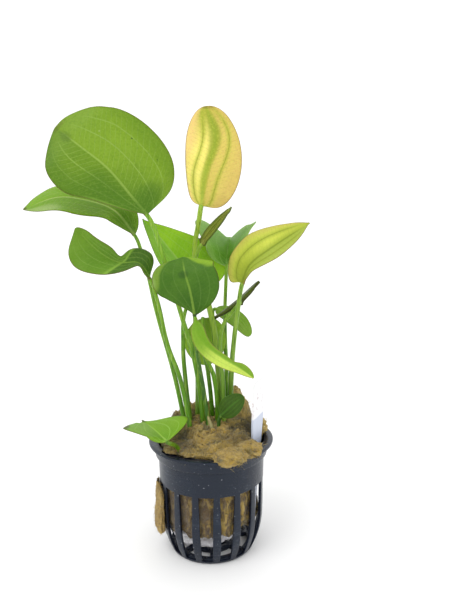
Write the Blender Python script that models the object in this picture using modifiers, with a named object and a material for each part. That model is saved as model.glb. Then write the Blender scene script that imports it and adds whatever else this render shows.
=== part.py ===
"""Sword plant for an aquarium, standing in a black net pot packed with golden mineral wool.

Every leaf is a blade on its own stem, and the stems stand in pockets in the wool.
The origin is the middle of the pot's underside, +Z is up and -Y is the side that faces the viewer.
"""

import math
from dataclasses import dataclass

import bmesh
import bpy
from mathutils import Vector, noise

# Every length below is in millimetres and is turned into metres where a mesh is made.
MM = 0.001
COLLECTION = "potted_sword_plant"

# Gap left between pieces that touch
GAP = 0.3

# Net pot
RIM_RADIUS = 27.5
RIM_TOP = 49.9
RIM_THICKNESS = 1.1
COLLAR_RADIUS = 24.9
COLLAR_BOTTOM = 43.6
# Slopes where the rim's edges, the collar and the floor meet the wall
RIM_INNER_BEVEL = 0.4
RIM_OUTER_BEVEL = 0.35
INSIDE_SLOPE = 0.9
WALL_THICKNESS = 1.3
FLOOR_THICKNESS = 2.0
# Outside of the wall as radius and height, from the collar down to the floor
WALL_ROUTE = [(23.4, 43.0), (23.2, 32.4), (23.0, 16.0), (22.2, 10.0), (20.7, 5.0), (18.4, 0.0)]
POT_STEPS = 28

# Slots of the pot's wall
SLOT_COUNT = 16
SLOT_TOP = 32.4
SLOT_BOTTOM = 3.0
SLOT_WIDTH_TOP = 6.3
SLOT_WIDTH_BOTTOM = 4.7
# Angle of the first bar from the viewer's side towards +X
FIRST_BAR_DEGREES = 5.1

# Openings of the pot's floor
SPOKE_COUNT = 7
SPOKE_WIDTH = 2.2
HUB_RADIUS = 4.5
RING_INNER = 8.4
RING_OUTER = 10.4
FLOOR_RIM = 15.6
FLOOR_ARC_STEPS = 3

# Blades and stems
BLADE_THICKNESS = 0.7
BLADE_ROWS = 9
HEEL_PLACE = 0.15
BLADE_COLUMNS = 4
# Half width of a blade at its very tip
BLADE_TIP_HALF_WIDTH = 0.35
# Shares of a blade's length in which its neck, its fold and its lobes come in, and its fold goes out at the tip
NECK_SHARE = 0.25
FOLD_SHARE = 1.0 / 6.0
FOLD_TIP_SHARE = 1.0 / 6.0
LOBE_SHARE = 0.05
STEM_FOOT_HEIGHT = 47.0
STEM_TIP_RADIUS = 0.8
STEM_FOOT_RADIUS = 1.1


@dataclass
class Half:
    """One half of a blade, from the midrib to its edge.

    width: widest half width. widest: where that is, 0 at the base and 1 at the tip.
    blunt: below 1 the ends are round, above 1 they are drawn out.
    fold: degrees that the half is raised at the midrib. curl: degrees added by the edge.
    lobe: length that the edge reaches back beyond the base. heel: extra width close to the base.
    """

    width: float
    widest: float = 0.4
    blunt: float = 0.6
    fold: float = 10.0
    curl: float = 0.0
    lobe: float = 0.0
    heel: float = 0.0


@dataclass
class Leaf:
    """A blade and the stem that carries it.

    midrib: route from the base to the tip. faces: ways the upper side faces, evenly spaced from base to tip.
    stem: route from the foot in the wool up to the blade, without the blade's own base.
    colour: plain colour of the blade. rows: quads along the blade.
    """

    midrib: list
    faces: list
    left: Half
    right: Half
    stem: list
    colour: tuple = (0.25, 0.48, 0.06)
    rows: int = BLADE_ROWS


LEAVES = {
    "round_leaf": Leaf(
        midrib=[
            (-24.8, -9, 148),
            (-29.5, -10.5, 154),
            (-39.6, -11, 166.3),
            (-51, -10, 175.5),
            (-59.3, -7, 182),
        ],
        faces=[(0.1, -1, 0.35), (0.1, -1, 0.2), (0.1, -1, 0.1)],
        left=Half(18.5, 0.65, 0.6, 8, -6),
        right=Half(23.6, 0.42, 0.36, 8, -10, lobe=2),
        stem=[(-2.5, -1), (-6.5, -3.5, 85), (-10.9, -6, 102.6), (-18.2, -8, 129)],
        colour=(0.20, 0.43, 0.05),
    ),
    "arching_leaf": Leaf(
        midrib=[(-32, 6, 139.3), (-40.5, 5, 150), (-55, 3, 154.8), (-64, 1, 155), (-75.3, -2, 150.6)],
        faces=[(-0.3, -0.5, 0.8), (0, -0.5, 0.87), (0, -0.45, 0.9)],
        left=Half(13, 0.62, 0.7, 0, 0),
        right=Half(13, 0.5, 0.7, 6, -10, lobe=1.5),
        stem=[(-10, -1), (-15.3, 0, 76.2), (-22.7, 2.5, 104.8), (-28.7, 5, 130.5)],
        colour=(0.22, 0.42, 0.06),
    ),
    "curled_leaf": Leaf(
        midrib=[(-24.8, -4, 121.3), (-29, -6, 128), (-36.9, -8, 128.6), (-44, -9.5, 133), (-53.1, -9, 142.2)],
        faces=[(0.1, -0.3, 0.95), (0, -0.35, 0.95), (0, -0.6, 0.7), (0.1, -1, 0.3), (0.1, -1, 0.2)],
        left=Half(11.3, 0.72, 0.7, heel=2.5),
        right=Half(4.5, 0.5, 0.35, 30, 0, heel=5),
        stem=[(-7.8, -5), (-12.9, -5, 77.7), (-17.9, -5, 93), (-22.2, -4.5, 113.5)],
        colour=(0.24, 0.45, 0.05),
    ),
    "yellow_leaf": Leaf(
        midrib=[(-3, 4, 151.7), (0.5, 2, 164), (1.5, 2, 175), (0, 5, 192.7)],
        faces=[(0.1, -1, 0.2), (0.1, -1, 0.0), (0, -1, 0.15)],
        left=Half(11, 0.52, 0.45, 10, -5, lobe=2),
        right=Half(13, 0.42, 0.42, 10, -5, lobe=1.2),
        stem=[(4.5, 2.5), (3.2, 2.5, 84), (0, 4, 107), (-5, 7.8, 122), (-6.3, 8, 130.5), (-4, 5, 146)],
        colour=(0.78, 0.68, 0.18),
    ),
    "golden_leaf": Leaf(
        midrib=[(14, -3.5, 118.9), (16.9, -7, 127), (25.2, -9, 133.8), (41.2, -6, 143.7)],
        faces=[(-0.4, -0.8, 0.5), (-0.3, -0.9, 0.4), (-0.2, -0.9, 0.5)],
        left=Half(12, 0.36, 0.75, 0, -15, lobe=9),
        right=Half(5.2, 0.55, 0.8, 10, -10),
        stem=[(8.2, 0.5), (9.1, -1, 78), (10.2, -2.5, 92.7), (12.1, -3.5, 108.1)],
        colour=(0.72, 0.70, 0.12),
    ),
    "middle_leaf": Leaf(
        midrib=[(-2, 13, 113.2), (-8.7, 14, 121), (-15.3, 15, 129.4), (-22.8, 16, 138.8), (-29.6, 17, 146)],
        faces=[(-0.3, -1, 0.3), (-0.2, -1, 0.3), (-0.2, -1, 0.4)],
        left=Half(8, 0.4, 0.8, 15, -10),
        right=Half(16.5, 0.27, 1.15, 5, -10, lobe=5, heel=1),
        stem=[(-8.2, 1.5), (-11.1, 1.5, 76.6), (-11.8, 2, 92), (-10.8, 6.5, 105.5), (-7.5, 11.3, 111)],
        colour=(0.32, 0.62, 0.05),
    ),
    "trough_leaf": Leaf(
        midrib=[(7.7, 9.5, 125.2), (8.1, 14, 129.7), (8.8, 22, 133.3), (10.2, 34, 136.9)],
        faces=[(0, -0.4, 0.9), (0, -0.3, 0.95)],
        left=Half(19.5, 0.45, 0.7, 42, 0),
        right=Half(16, 0.42, 0.7, 47, 0),
        stem=[(7, 6), (7.2, 7.5, 78.5), (6.9, 11, 91.5), (6.9, 11, 106), (7.4, 10.3, 118)],
        colour=(0.16, 0.36, 0.10),
    ),
    "spoon_leaf": Leaf(
        midrib=[(-6.1, -14, 107.3), (-7.6, -18, 118), (-9.5, -17.5, 125), (-10.8, -12, 131)],
        faces=[(0, -0.9, 0.4), (0, -1, 0.1), (0, -0.9, 0.5)],
        left=Half(13.5, 0.64, 0.8, 5, 10),
        right=Half(12.5, 0.53, 0.55, 5, 10),
        stem=[(0.2, -5.5), (-2.9, -6.5, 72.6), (-5.5, -10, 92.6)],
        colour=(0.10, 0.29, 0.04),
    ),
    "hanging_leaf": Leaf(
        midrib=[
            (-5.7, -17, 106.5),
            (-4.9, -20, 102),
            (-1.9, -22, 97.3),
            (4.9, -23, 91.9),
            (11.8, -23, 87.5),
            (17.2, -23, 83.2),
        ],
        faces=[(-0.2, -0.9, 0.5), (-0.3, -0.8, 0.5), (-0.2, -0.7, 0.7)],
        left=Half(1.4, 0.6, 0.5, 10, 0, heel=3),
        right=Half(4.4, 0.2, 0.45, 0, 0),
        stem=[(3, -1), (1.6, -5, 78.3), (-1.2, -8.5, 86.9), (-4.3, -14, 97.1)],
        colour=(0.40, 0.66, 0.06),
    ),
    "shaded_leaf": Leaf(
        midrib=[(-3, 5, 102.5), (-2.2, 7.5, 96), (-2.3, 8.5, 89), (-2.4, 8, 80.5)],
        faces=[(0, -0.8, 0.6), (0, -1, 0.2), (0, -1, 0)],
        left=Half(9.5, 0.5, 0.5, 0, 0, lobe=1),
        right=Half(9.5, 0.5, 0.5, 0, 0, lobe=1),
        stem=[(1.5, 3.5), (-1, 3, 78), (-3.2, 3, 92)],
        colour=(0.20, 0.42, 0.05),
    ),
    "lower_young_leaf": Leaf(
        midrib=[(13.3, 0.5, 110.2), (13.5, 4.5, 110.4), (13.6, 8.5, 110.3)],
        faces=[(-0.63, 0, 0.77), (-0.63, 0, 0.77)],
        left=Half(15, 0.4, 0.7, 5, 0),
        right=Half(12, 0.4, 0.7, 7, 0),
        stem=[(5.5, -4.5), (5.4, -3.5, 76), (4.2, -3.5, 89), (5.6, -2.5, 100.5), (9.6, -0.3, 106)],
        rows=6,
        colour=(0.10, 0.14, 0.03),
    ),
    "upper_young_leaf": Leaf(
        midrib=[(-2.5, 2, 135.8), (3.6, 1, 143), (9.7, -1, 150.9)],
        faces=[(-0.3, -0.9, 0.2), (-0.3, -0.9, 0.2)],
        left=Half(3.2, 0.4, 0.8, 50, 10, lobe=3),
        right=Half(3.2, 0.4, 0.8, 50, 10, lobe=3),
        stem=[
            (-6.5, 5),
            (-5.9, 7.5, 73.6),
            (-6.3, 11.5, 91),
            (-6.7, 10.5, 100),
            (-6.9, 6.5, 114),
            (-4.5, 3, 132.8),
        ],
        rows=6,
        colour=(0.16, 0.20, 0.03),
    ),
    "side_leaf": Leaf(
        midrib=[(2.9, 17, 104.6), (8.4, 16, 102.4), (13.8, 14, 98.5), (18.2, 12, 92.7)],
        faces=[(0.2, -0.9, 0.5), (0.2, -1, 0.2)],
        left=Half(4.2, 0.6, 0.5, 0, 0),
        right=Half(3.7, 0.5, 0.6, 0, 0),
        stem=[(4, 6), (4.1, 11, 77.3), (3.8, 14, 88.3)],
        rows=6,
        colour=(0.28, 0.50, 0.10),
    ),
    "crown_leaf": Leaf(
        midrib=[(4.1, -9, 62.6), (8.5, -11.5, 67.9), (13.9, -10.5, 71.8)],
        faces=[(-0.1, -1, 0.3), (-0.1, -1, 0.3)],
        left=Half(4.5, 0.5, 0.5, 5, 0),
        right=Half(4.5, 0.5, 0.5, 5, 0),
        stem=[(3.5, -7.5), (3.2, -8.2, 57)],
        rows=6,
        colour=(0.08, 0.20, 0.03),
    ),
    "rim_leaf": Leaf(
        midrib=[(-17.9, -22, 56.8), (-23.3, -15, 59), (-28.6, -8, 60.4)],
        faces=[(0, -0.2, 0.98), (0, -0.2, 0.98)],
        left=Half(18.5, 0.38, 1.0, 29, 0),
        right=Half(15.5, 0.45, 1.2, 4, 0),
        stem=[(-12.5, -16), (-14.2, -18, 53)],
        rows=6,
        colour=(0.33, 0.55, 0.08),
    ),
}

# Plant tag
TAG_THICKNESS = 0.8
TAG_HALF_WIDTH = 6.0
TAG_TOP = 78.0
TAG_SHOULDER = 60.0
TAG_POINT = 9.0
TAG_POINT_HALF_WIDTH = 1.0
TAG_PLACE = (20.8, -8.15)
# Distance that the foot of the tag stands nearer to the pot's axis than its top
TAG_LEAN = 3.4
TAG_TURN_DEGREES = 64.0
# Wool left out between the tag and the pot's wall
TAG_OUTER_ROOM = 4.0
TAG_CORNER = 1.0

# Wool plug, packed into the pot and heaped above its rim
WOOL_BOTTOM = 14.0
WOOL_RADIUS = 22.9
WOOL_EDGE_HEIGHT = 49.6
WOOL_HEAP = 7.8
WOOL_UNDER_ROWS = 3
WOOL_SIDE_ROWS = 5
WOOL_TOP_ROWS = 7
# Height of the unevenness on the plug's top, its underside and its side
WOOL_ROUGHNESS = 1.6
WOOL_UNDER_ROUGHNESS = 5.0
WOOL_SIDE_ROUGHNESS = 1.5
# Height of the hollow in the middle of the underside
WOOL_UNDER_HOLLOW = 2.0
# Rises and dips of the heap: place, height and half sizes across and along
WOOL_RISES = [
    ((11.6, 9.0), 15.0, (7.2, 7.5)),
    ((19.5, 7.0), 5.0, (5.0, 6.0)),
    ((-5.0, 11.5), 7.5, (8.0, 6.0)),
    ((-14.0, 7.0), 6.0, (7.0, 7.0)),
    ((15.0, -12.0), 3.6, (6.0, 7.0)),
    ((3.5, -8.5), 4.0, (5.0, 5.0)),
    ((12.0, 0.0), 3.0, (7.0, 7.0)),
    ((24.0, -6.0), -9.0, (7.0, 9.0)),
    ((-19.0, -15.0), -4.0, (5.0, 5.0)),
]
# Lumps that hang out over the rim: middle and half sizes
WOOL_LUMPS = [
    ((7.8, -25.0, 51.2), (6.6, 5.2, 3.0)),
    ((15.5, -18.0, 51.4), (5.0, 5.0, 3.0)),
]

# Wool that bulges through the slots at the left, placed by its angle from +X and its height
FLAP_DEGREES = 192.0
FLAP_HEIGHT = 21.0
FLAP_HALF_DEGREES = 17.0
FLAP_HALF_HEIGHT = 13.5
FLAP_HALF_THICKNESS = 1.0
FLAP_ROOM = 0.5
FLAP_ROUGHNESS = 0.14

# Pale lump of fleece under the plug
FLEECE_MIDDLE = (-3.5, -4, 8.0)
FLEECE_HALF_SIZES = (12.5, 10.0, 5.4)
# Unevenness of a lump as a share of its size
LUMP_ROUGHNESS = 0.16

# Dry leaf sheath among the feet of the stems
SHEATH = Leaf(
    midrib=[(0.9, -9, 54), (0.2, -9.2, 58), (-1.3, -9.6, 62.8)],
    faces=[(0, -1, 0.1), (0, -1, 0.1)],
    left=Half(0.9, 0.4, 0.3, 10),
    right=Half(0.9, 0.4, 0.3, 10),
    stem=[],
    rows=4,
    colour=(0.55, 0.50, 0.30),
)


def clear_scene():
    """Removes what the scene starts with."""
    for old in list(bpy.data.objects):
        bpy.data.objects.remove(old)
    for old in list(bpy.data.collections):
        bpy.data.collections.remove(old)


def new_collection(name):
    """Adds a collection to the scene."""
    made = bpy.data.collections.new(name)
    bpy.context.scene.collection.children.link(made)
    return made


def material(name, colour, roughness):
    """One plain material in the colour of its piece."""
    made = bpy.data.materials.new(name)
    made.use_nodes = True
    shader = made.node_tree.nodes["Principled BSDF"]
    shader.inputs["Base Color"].default_value = (*colour, 1.0)
    shader.inputs["Roughness"].default_value = roughness
    made.diffuse_color = (*colour, 1.0)
    return made


def add_object(name, data, collection, look=None, smooth=False):
    """Links an object for the mesh or curve, with its material and shading."""
    made = bpy.data.objects.new(name, data)
    collection.objects.link(made)
    if look is not None:
        data.materials.append(look)
    if smooth:
        for face in data.polygons:
            face.use_smooth = True
    return made


def mesh_from(name, points, faces):
    """Mesh of the points, which are in millimetres, with its faces turned outward."""
    made = bmesh.new()
    corners = [made.verts.new(Vector(point) * MM) for point in points]
    for face in faces:
        made.faces.new([corners[index] for index in face])
    bmesh.ops.recalc_face_normals(made, faces=made.faces)
    mesh = bpy.data.meshes.new(name)
    made.to_mesh(mesh)
    made.free()
    return mesh


def evaluated_mesh(item):
    """Mesh of the object with its modifiers applied."""
    graph = bpy.context.evaluated_depsgraph_get()
    return bpy.data.meshes.new_from_object(item.evaluated_get(graph))


def bake(item):
    """Applies the modifiers of a mesh object."""
    bpy.context.view_layer.update()
    mesh = evaluated_mesh(item)
    item.modifiers.clear()
    item.data = mesh


def cut(item, cutter):
    """Takes the cutter's shape out of the object."""
    modifier = item.modifiers.new("cut", "BOOLEAN")
    modifier.operation = "DIFFERENCE"
    modifier.solver = "EXACT"
    modifier.object = cutter


def join(item, other):
    """Joins the other solid onto the object."""
    modifier = item.modifiers.new("join", "BOOLEAN")
    modifier.operation = "UNION"
    modifier.solver = "EXACT"
    modifier.object = other


def as_cutter(item):
    """Marks the object as a helper that is not part of the plant."""
    item.hide_render = True
    item.display_type = "WIRE"
    return item


def add_cutter(name, mesh, cutters):
    """Helper object made from a mesh."""
    return as_cutter(add_object(name, mesh, cutters))


def revolve(item, steps):
    """Turns the object's profile about the Z axis."""
    screw = item.modifiers.new("revolve", "SCREW")
    screw.axis = "Z"
    screw.steps = steps
    screw.render_steps = steps
    screw.use_merge_vertices = True
    screw.merge_threshold = 0.0001
    screw.use_normal_calculate = True


def profile_mesh(name, route, closed=False):
    """Line of points at +X, as radius and height, joined end to end when it is closed."""
    mesh = bpy.data.meshes.new(name)
    points = [(radius * MM, 0.0, height * MM) for radius, height in route]
    edges = [(index, index + 1) for index in range(len(route) - 1)]
    if closed:
        edges.append((len(route) - 1, 0))
    mesh.from_pydata(points, edges, [])
    return mesh


def pot_profile():
    """Section of the pot: from the axis over the floor, up the inside, over the rim and down the outside."""
    inner = [(radius - WALL_THICKNESS, height) for radius, height in WALL_ROUTE[:-1]]
    floor_inner = WALL_ROUTE[-1][0] - WALL_THICKNESS + INSIDE_SLOPE
    collar_inner = COLLAR_RADIUS - WALL_THICKNESS
    under_rim = RIM_TOP - RIM_THICKNESS
    route = [(0.0, FLOOR_THICKNESS), (floor_inner, FLOOR_THICKNESS)]
    route += list(reversed(inner))
    route += [(collar_inner, COLLAR_BOTTOM + INSIDE_SLOPE)]
    route += [(collar_inner, RIM_TOP - RIM_INNER_BEVEL), (collar_inner + RIM_INNER_BEVEL, RIM_TOP)]
    route += [(RIM_RADIUS - RIM_OUTER_BEVEL, RIM_TOP), (RIM_RADIUS, RIM_TOP - RIM_OUTER_BEVEL)]
    route += [(RIM_RADIUS, under_rim)]
    route += [(COLLAR_RADIUS, under_rim), (COLLAR_RADIUS, COLLAR_BOTTOM)]
    route += WALL_ROUTE
    route += [(0.0, 0.0)]
    return route


def slot_cutter(index, cutters):
    """Wedge that opens one slot of the wall."""
    pitch = 2 * math.pi / SLOT_COUNT
    angle = math.radians(FIRST_BAR_DEGREES - 90.0) + pitch * (index + 0.5)
    out = Vector((math.cos(angle), math.sin(angle), 0.0))
    side = Vector((-math.sin(angle), math.cos(angle), 0.0))
    points = []
    inside = WALL_ROUTE[-1][0] - 5 * WALL_THICKNESS
    outside = RIM_RADIUS + 2 * WALL_THICKNESS
    for height, width in ((SLOT_BOTTOM, SLOT_WIDTH_BOTTOM), (SLOT_TOP, SLOT_WIDTH_TOP)):
        for reach in (inside, outside):
            for sign in (-1, 1):
                place = out * reach + side * (sign * width / 2)
                points.append((place.x, place.y, height))
    faces = [(0, 1, 3, 2), (4, 5, 7, 6), (0, 1, 5, 4), (2, 3, 7, 6), (0, 2, 6, 4), (1, 3, 7, 5)]
    return add_cutter(f"slot_{index}", mesh_from("slot", points, faces), cutters)


def floor_cutter(name, low, high, middle, cutters):
    """Opening of the floor between two spokes, from radius low to radius high."""
    half_pitch = math.pi / SPOKE_COUNT
    points = []
    rim = []
    steps = FLOOR_ARC_STEPS
    for radius in (low, high):
        half = half_pitch - math.asin(SPOKE_WIDTH / 2 / radius)
        arc = [middle - half + 2 * half * step / steps for step in range(steps + 1)]
        if radius == high:
            arc.reverse()
        rim += [(radius * math.cos(angle), radius * math.sin(angle)) for angle in arc]
    for height in (-FLOOR_THICKNESS, 2 * FLOOR_THICKNESS):
        points += [(x, y, height) for x, y in rim]
    count = len(rim)
    faces = [tuple(range(count)), tuple(range(count, 2 * count))]
    faces += [(i, (i + 1) % count, count + (i + 1) % count, count + i) for i in range(count)]
    return add_cutter(name, mesh_from(name, points, faces), cutters)


def build_pot(collection, cutters, look):
    """Net pot: a turned cup with a flat rim, slots in its wall and a spoked floor."""
    pot = add_object("pot", profile_mesh("pot", list(reversed(pot_profile()))), collection, look)
    revolve(pot, POT_STEPS)
    bake(pot)
    for index in range(SLOT_COUNT):
        cut(pot, slot_cutter(index, cutters))
    for index in range(SPOKE_COUNT):
        middle = math.radians(-90.0) + (index + 0.5) * 2 * math.pi / SPOKE_COUNT
        cut(pot, floor_cutter(f"floor_inner_{index}", HUB_RADIUS, RING_INNER, middle, cutters))
        cut(pot, floor_cutter(f"floor_outer_{index}", RING_OUTER, FLOOR_RIM, middle, cutters))
    bake(pot)
    return pot


def along_route(points, share):
    """Place and heading at a share of a smooth route through the points."""
    places = [Vector(point) for point in points]
    lengths = [(b - a).length for a, b in zip(places, places[1:])]
    target = share * sum(lengths)
    index = 0
    while index < len(lengths) - 1 and target > lengths[index]:
        target -= lengths[index]
        index += 1
    local = target / lengths[index]
    here, there = places[index], places[index + 1]
    before = places[index - 1] if index else here * 2 - there
    after = places[index + 2] if index + 2 < len(places) else there * 2 - here
    start = (there - before) * (lengths[index] / ((there - here).length + (here - before).length))
    end = (after - here) * (lengths[index] / ((there - here).length + (after - there).length))
    square, cube = local * local, local * local * local
    place = (
        here * (2 * cube - 3 * square + 1)
        + start * (cube - 2 * square + local)
        + there * (3 * square - 2 * cube)
        + end * (cube - square)
    )
    heading = (
        here * (6 * square - 6 * local)
        + start * (3 * square - 4 * local + 1)
        + there * (6 * local - 6 * square)
        + end * (3 * square - 2 * local)
    )
    return place, heading.normalized()


def facing(faces, share):
    """Way that the upper side faces at a share of the blade's length."""
    place = share * (len(faces) - 1)
    index = min(int(place), len(faces) - 2)
    return Vector(faces[index]).normalized().lerp(Vector(faces[index + 1]).normalized(), place - index)


def bulge(share, place):
    """Curve from 0 at both ends to 1 at the place."""
    power = math.log(0.5) / math.log(place)
    return max(0.0, math.sin(math.pi * min(1.0, share) ** power))


def half_width(half, share, narrow):
    """Half width at a share of the blade's length, never under the narrow value."""
    width = half.width * bulge(share, half.widest) ** half.blunt
    width += half.heel * bulge(share, HEEL_PLACE) ** 4
    return max(narrow, width)


def blade_point(leaf, share, across, grow=0.0):
    """Point of the blade: share runs from base to tip, across from the left edge (-1) to the right (1)."""
    place, heading = along_route(leaf.midrib, share)
    up = facing(leaf.faces, share)
    up = (up - heading * up.dot(heading)).normalized()
    side = heading.cross(up)
    half = leaf.right if across > 0 else leaf.left
    sign = 1.0 if across > 0 else -1.0
    reach = abs(across)
    neck = max(0.0, 1.0 - share / NECK_SHARE)
    narrow = BLADE_TIP_HALF_WIDTH + (STEM_TIP_RADIUS - BLADE_TIP_HALF_WIDTH) * neck
    width = half_width(half, share, narrow) + grow
    # The half turns steadily from its fold at the midrib to fold plus curl at the edge.
    turn = math.radians(half.fold + half.curl * reach * 0.5)
    turn *= min(1.0, share / FOLD_SHARE, (1.0 - share) / FOLD_TIP_SHARE)
    out = side * (sign * math.cos(turn)) + up * math.sin(turn)
    back = half.lobe * reach**1.5 * (1.0 - share) ** 3 * (1.0 - math.exp(-share / LOBE_SHARE))
    return place + out * (width * reach) - heading * back


def row_shares(rows):
    """Places of the blade's rows, closer together at both ends."""
    return [0.5 - 0.5 * math.cos(math.pi * row / rows) for row in range(rows + 1)]


def blade_mesh(name, leaf, rows, columns, grow=0.0):
    """Open surface of a blade, shaped from a flat grid."""
    made = bmesh.new()
    bmesh.ops.create_grid(made, x_segments=columns, y_segments=rows, size=1.0)
    shares = row_shares(rows)
    for vertex in made.verts:
        row = round((vertex.co.y + 1.0) / 2.0 * rows)
        vertex.co = blade_point(leaf, shares[row], vertex.co.x, grow) * MM
    mesh = bpy.data.meshes.new(name)
    made.to_mesh(mesh)
    made.free()
    return mesh


def build_blade(name, leaf, collection, look, thickness=BLADE_THICKNESS, grow=0.0):
    """Blade as a thin solid."""
    blade = add_object(name, blade_mesh(name, leaf, leaf.rows, BLADE_COLUMNS, grow), collection, look)
    solid = blade.modifiers.new("thickness", "SOLIDIFY")
    solid.thickness = thickness * MM
    solid.offset = 0.0
    bake(blade)
    for face in blade.data.polygons:
        face.use_smooth = True
    return blade


def stem_route(leaf):
    """Route of a stem from its foot up to just short of its blade."""
    foot = leaf.stem[0]
    start = Vector((foot[0], foot[1], STEM_FOOT_HEIGHT))
    base, heading = along_route(leaf.midrib, 0.0)
    return [start] + [Vector(point) for point in leaf.stem[1:]] + [base - heading * GAP]


def build_tube(name, route, last_heading, grow, collection, look):
    """Round rod as thick as a stem and its growth, along a smooth route and closed at both ends."""
    curve = bpy.data.curves.new(name, "CURVE")
    curve.dimensions = "3D"
    curve.bevel_depth = MM
    curve.bevel_resolution = 1
    curve.resolution_u = 3
    curve.use_fill_caps = True
    spline = curve.splines.new("BEZIER")
    spline.bezier_points.add(len(route) - 1)
    for index, (point, place) in enumerate(zip(spline.bezier_points, route)):
        share = index / (len(route) - 1)
        point.co = Vector(place) * MM
        point.radius = STEM_FOOT_RADIUS + (STEM_TIP_RADIUS - STEM_FOOT_RADIUS) * min(1.0, share * 1.5) + grow
        point.handle_left_type = "AUTO"
        point.handle_right_type = "AUTO"
    # The rod meets the blade in the direction of its midrib.
    end = spline.bezier_points[-1]
    reach = (Vector(route[-1]) - Vector(route[-2])).length * 0.3
    end.handle_left_type = "FREE"
    end.handle_right_type = "FREE"
    end.handle_left = (Vector(route[-1]) - last_heading * reach) * MM
    end.handle_right = (Vector(route[-1]) + last_heading * reach) * MM
    guide = add_object(name + "_route", curve, collection)
    bpy.context.view_layer.update()
    mesh = evaluated_mesh(guide)
    bpy.data.objects.remove(guide)
    welded = bmesh.new()
    welded.from_mesh(mesh)
    bmesh.ops.remove_doubles(welded, verts=welded.verts, dist=0.00001)
    bmesh.ops.recalc_face_normals(welded, faces=welded.faces)
    welded.to_mesh(mesh)
    welded.free()
    mesh.materials.clear()
    return add_object(name, mesh, collection, look, smooth=True)


def build_stem(name, leaf, collection, look):
    """Stem of one leaf."""
    heading = along_route(leaf.midrib, 0.0)[1]
    return build_tube(name, stem_route(leaf), heading, 0.0, collection, look)


def stem_pocket(name, leaf, cutters):
    """Room for a stem in the wool, one gap wider and deeper than the stem."""
    route = stem_route(leaf)
    heading = along_route(leaf.midrib, 0.0)[1]
    lowest = route[0] - (route[1] - route[0]).normalized() * GAP
    return as_cutter(build_tube(name, [lowest] + route[1:], heading, GAP, cutters, None))


def tag_points(grow, outer_room):
    """Outline of the tag on both sides of its sheet, grown by a clearance and by room on its outer side."""
    turn = math.radians(TAG_TURN_DEGREES)
    along = Vector((math.cos(turn), math.sin(turn), 0.0))
    through = Vector((math.sin(turn), -math.cos(turn), 0.0))
    middle = Vector((TAG_PLACE[0], TAG_PLACE[1], 0.0))
    wide = TAG_HALF_WIDTH + grow
    tip = TAG_POINT_HALF_WIDTH + grow
    outline = [
        (-tip, TAG_POINT - grow),
        (tip, TAG_POINT - grow),
        (wide, TAG_SHOULDER),
        (wide, TAG_TOP + grow - TAG_CORNER),
        (wide - TAG_CORNER, TAG_TOP + grow),
        (TAG_CORNER - wide, TAG_TOP + grow),
        (-wide, TAG_TOP + grow - TAG_CORNER),
        (-wide, TAG_SHOULDER),
    ]
    half = TAG_THICKNESS / 2 + grow
    points = []
    for side in (-half, half + outer_room):
        for reach, height in outline:
            lean = TAG_LEAN * (TAG_TOP - height) / (TAG_TOP - TAG_POINT)
            place = middle + along * reach + through * (side - lean)
            points.append((place.x, place.y, height))
    return points, len(outline)


def tag_mesh(name, grow=0.0, outer_room=0.0):
    """Thin sheet with a pointed foot."""
    points, count = tag_points(grow, outer_room)
    faces = [tuple(range(count)), tuple(range(count, 2 * count))]
    faces += [(i, (i + 1) % count, count + (i + 1) % count, count + i) for i in range(count)]
    return mesh_from(name, points, faces)


def rough(place, size, amount, seed):
    """Push of the noise at a place, in millimetres."""
    return noise.noise(Vector(place) / size + Vector((seed, 0.0, 0.0))) * amount


def lump_mesh(name, middle, half_sizes, seed):
    """Rounded lump with an uneven surface."""
    made = bmesh.new()
    bmesh.ops.create_icosphere(made, subdivisions=2, radius=1.0)
    for vertex in made.verts:
        way = vertex.co.copy()
        swell = 1.0 + rough(way, 0.5, LUMP_ROUGHNESS, seed) + rough(way, 0.22, LUMP_ROUGHNESS / 2, seed + 9)
        vertex.co = Vector(
            (
                (middle[0] + way.x * half_sizes[0] * swell) * MM,
                (middle[1] + way.y * half_sizes[1] * swell) * MM,
                (middle[2] + way.z * half_sizes[2] * swell) * MM,
            )
        )
    mesh = bpy.data.meshes.new(name)
    made.to_mesh(mesh)
    made.free()
    return mesh


def flap_mesh(name):
    """Flat lump of wool that lies against the outside of the pot's wall."""
    made = bmesh.new()
    bmesh.ops.create_icosphere(made, subdivisions=3, radius=1.0)
    for vertex in made.verts:
        way = vertex.co.copy()
        swell = 1.0 + rough(way, 0.5, FLAP_ROUGHNESS, 2.0)
        angle = math.radians(FLAP_DEGREES + FLAP_HALF_DEGREES * way.y * swell)
        height = FLAP_HEIGHT + FLAP_HALF_HEIGHT * way.z * swell
        radius = wall_radius(height) + FLAP_ROOM + FLAP_HALF_THICKNESS * (1.0 + way.x)
        vertex.co = Vector((radius * math.cos(angle), radius * math.sin(angle), height)) * MM
    mesh = bpy.data.meshes.new(name)
    made.to_mesh(mesh)
    made.free()
    return mesh


def wall_radius(height):
    """Outside radius of the pot's wall at a height."""
    for (upper, top), (lower, bottom) in zip(WALL_ROUTE, WALL_ROUTE[1:]):
        if bottom <= height <= top:
            return lower + (upper - lower) * (height - bottom) / (top - bottom)
    return WALL_ROUTE[0][0]


def plug_radius(height):
    """Widest radius of the plug inside the pot at a height."""
    lower = wall_radius(height) - WALL_THICKNESS - 2 * GAP
    share = (height - COLLAR_BOTTOM) / (RIM_TOP - 2.0 - COLLAR_BOTTOM)
    return lower + (WOOL_RADIUS - lower) * max(0.0, min(1.0, share))


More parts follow.
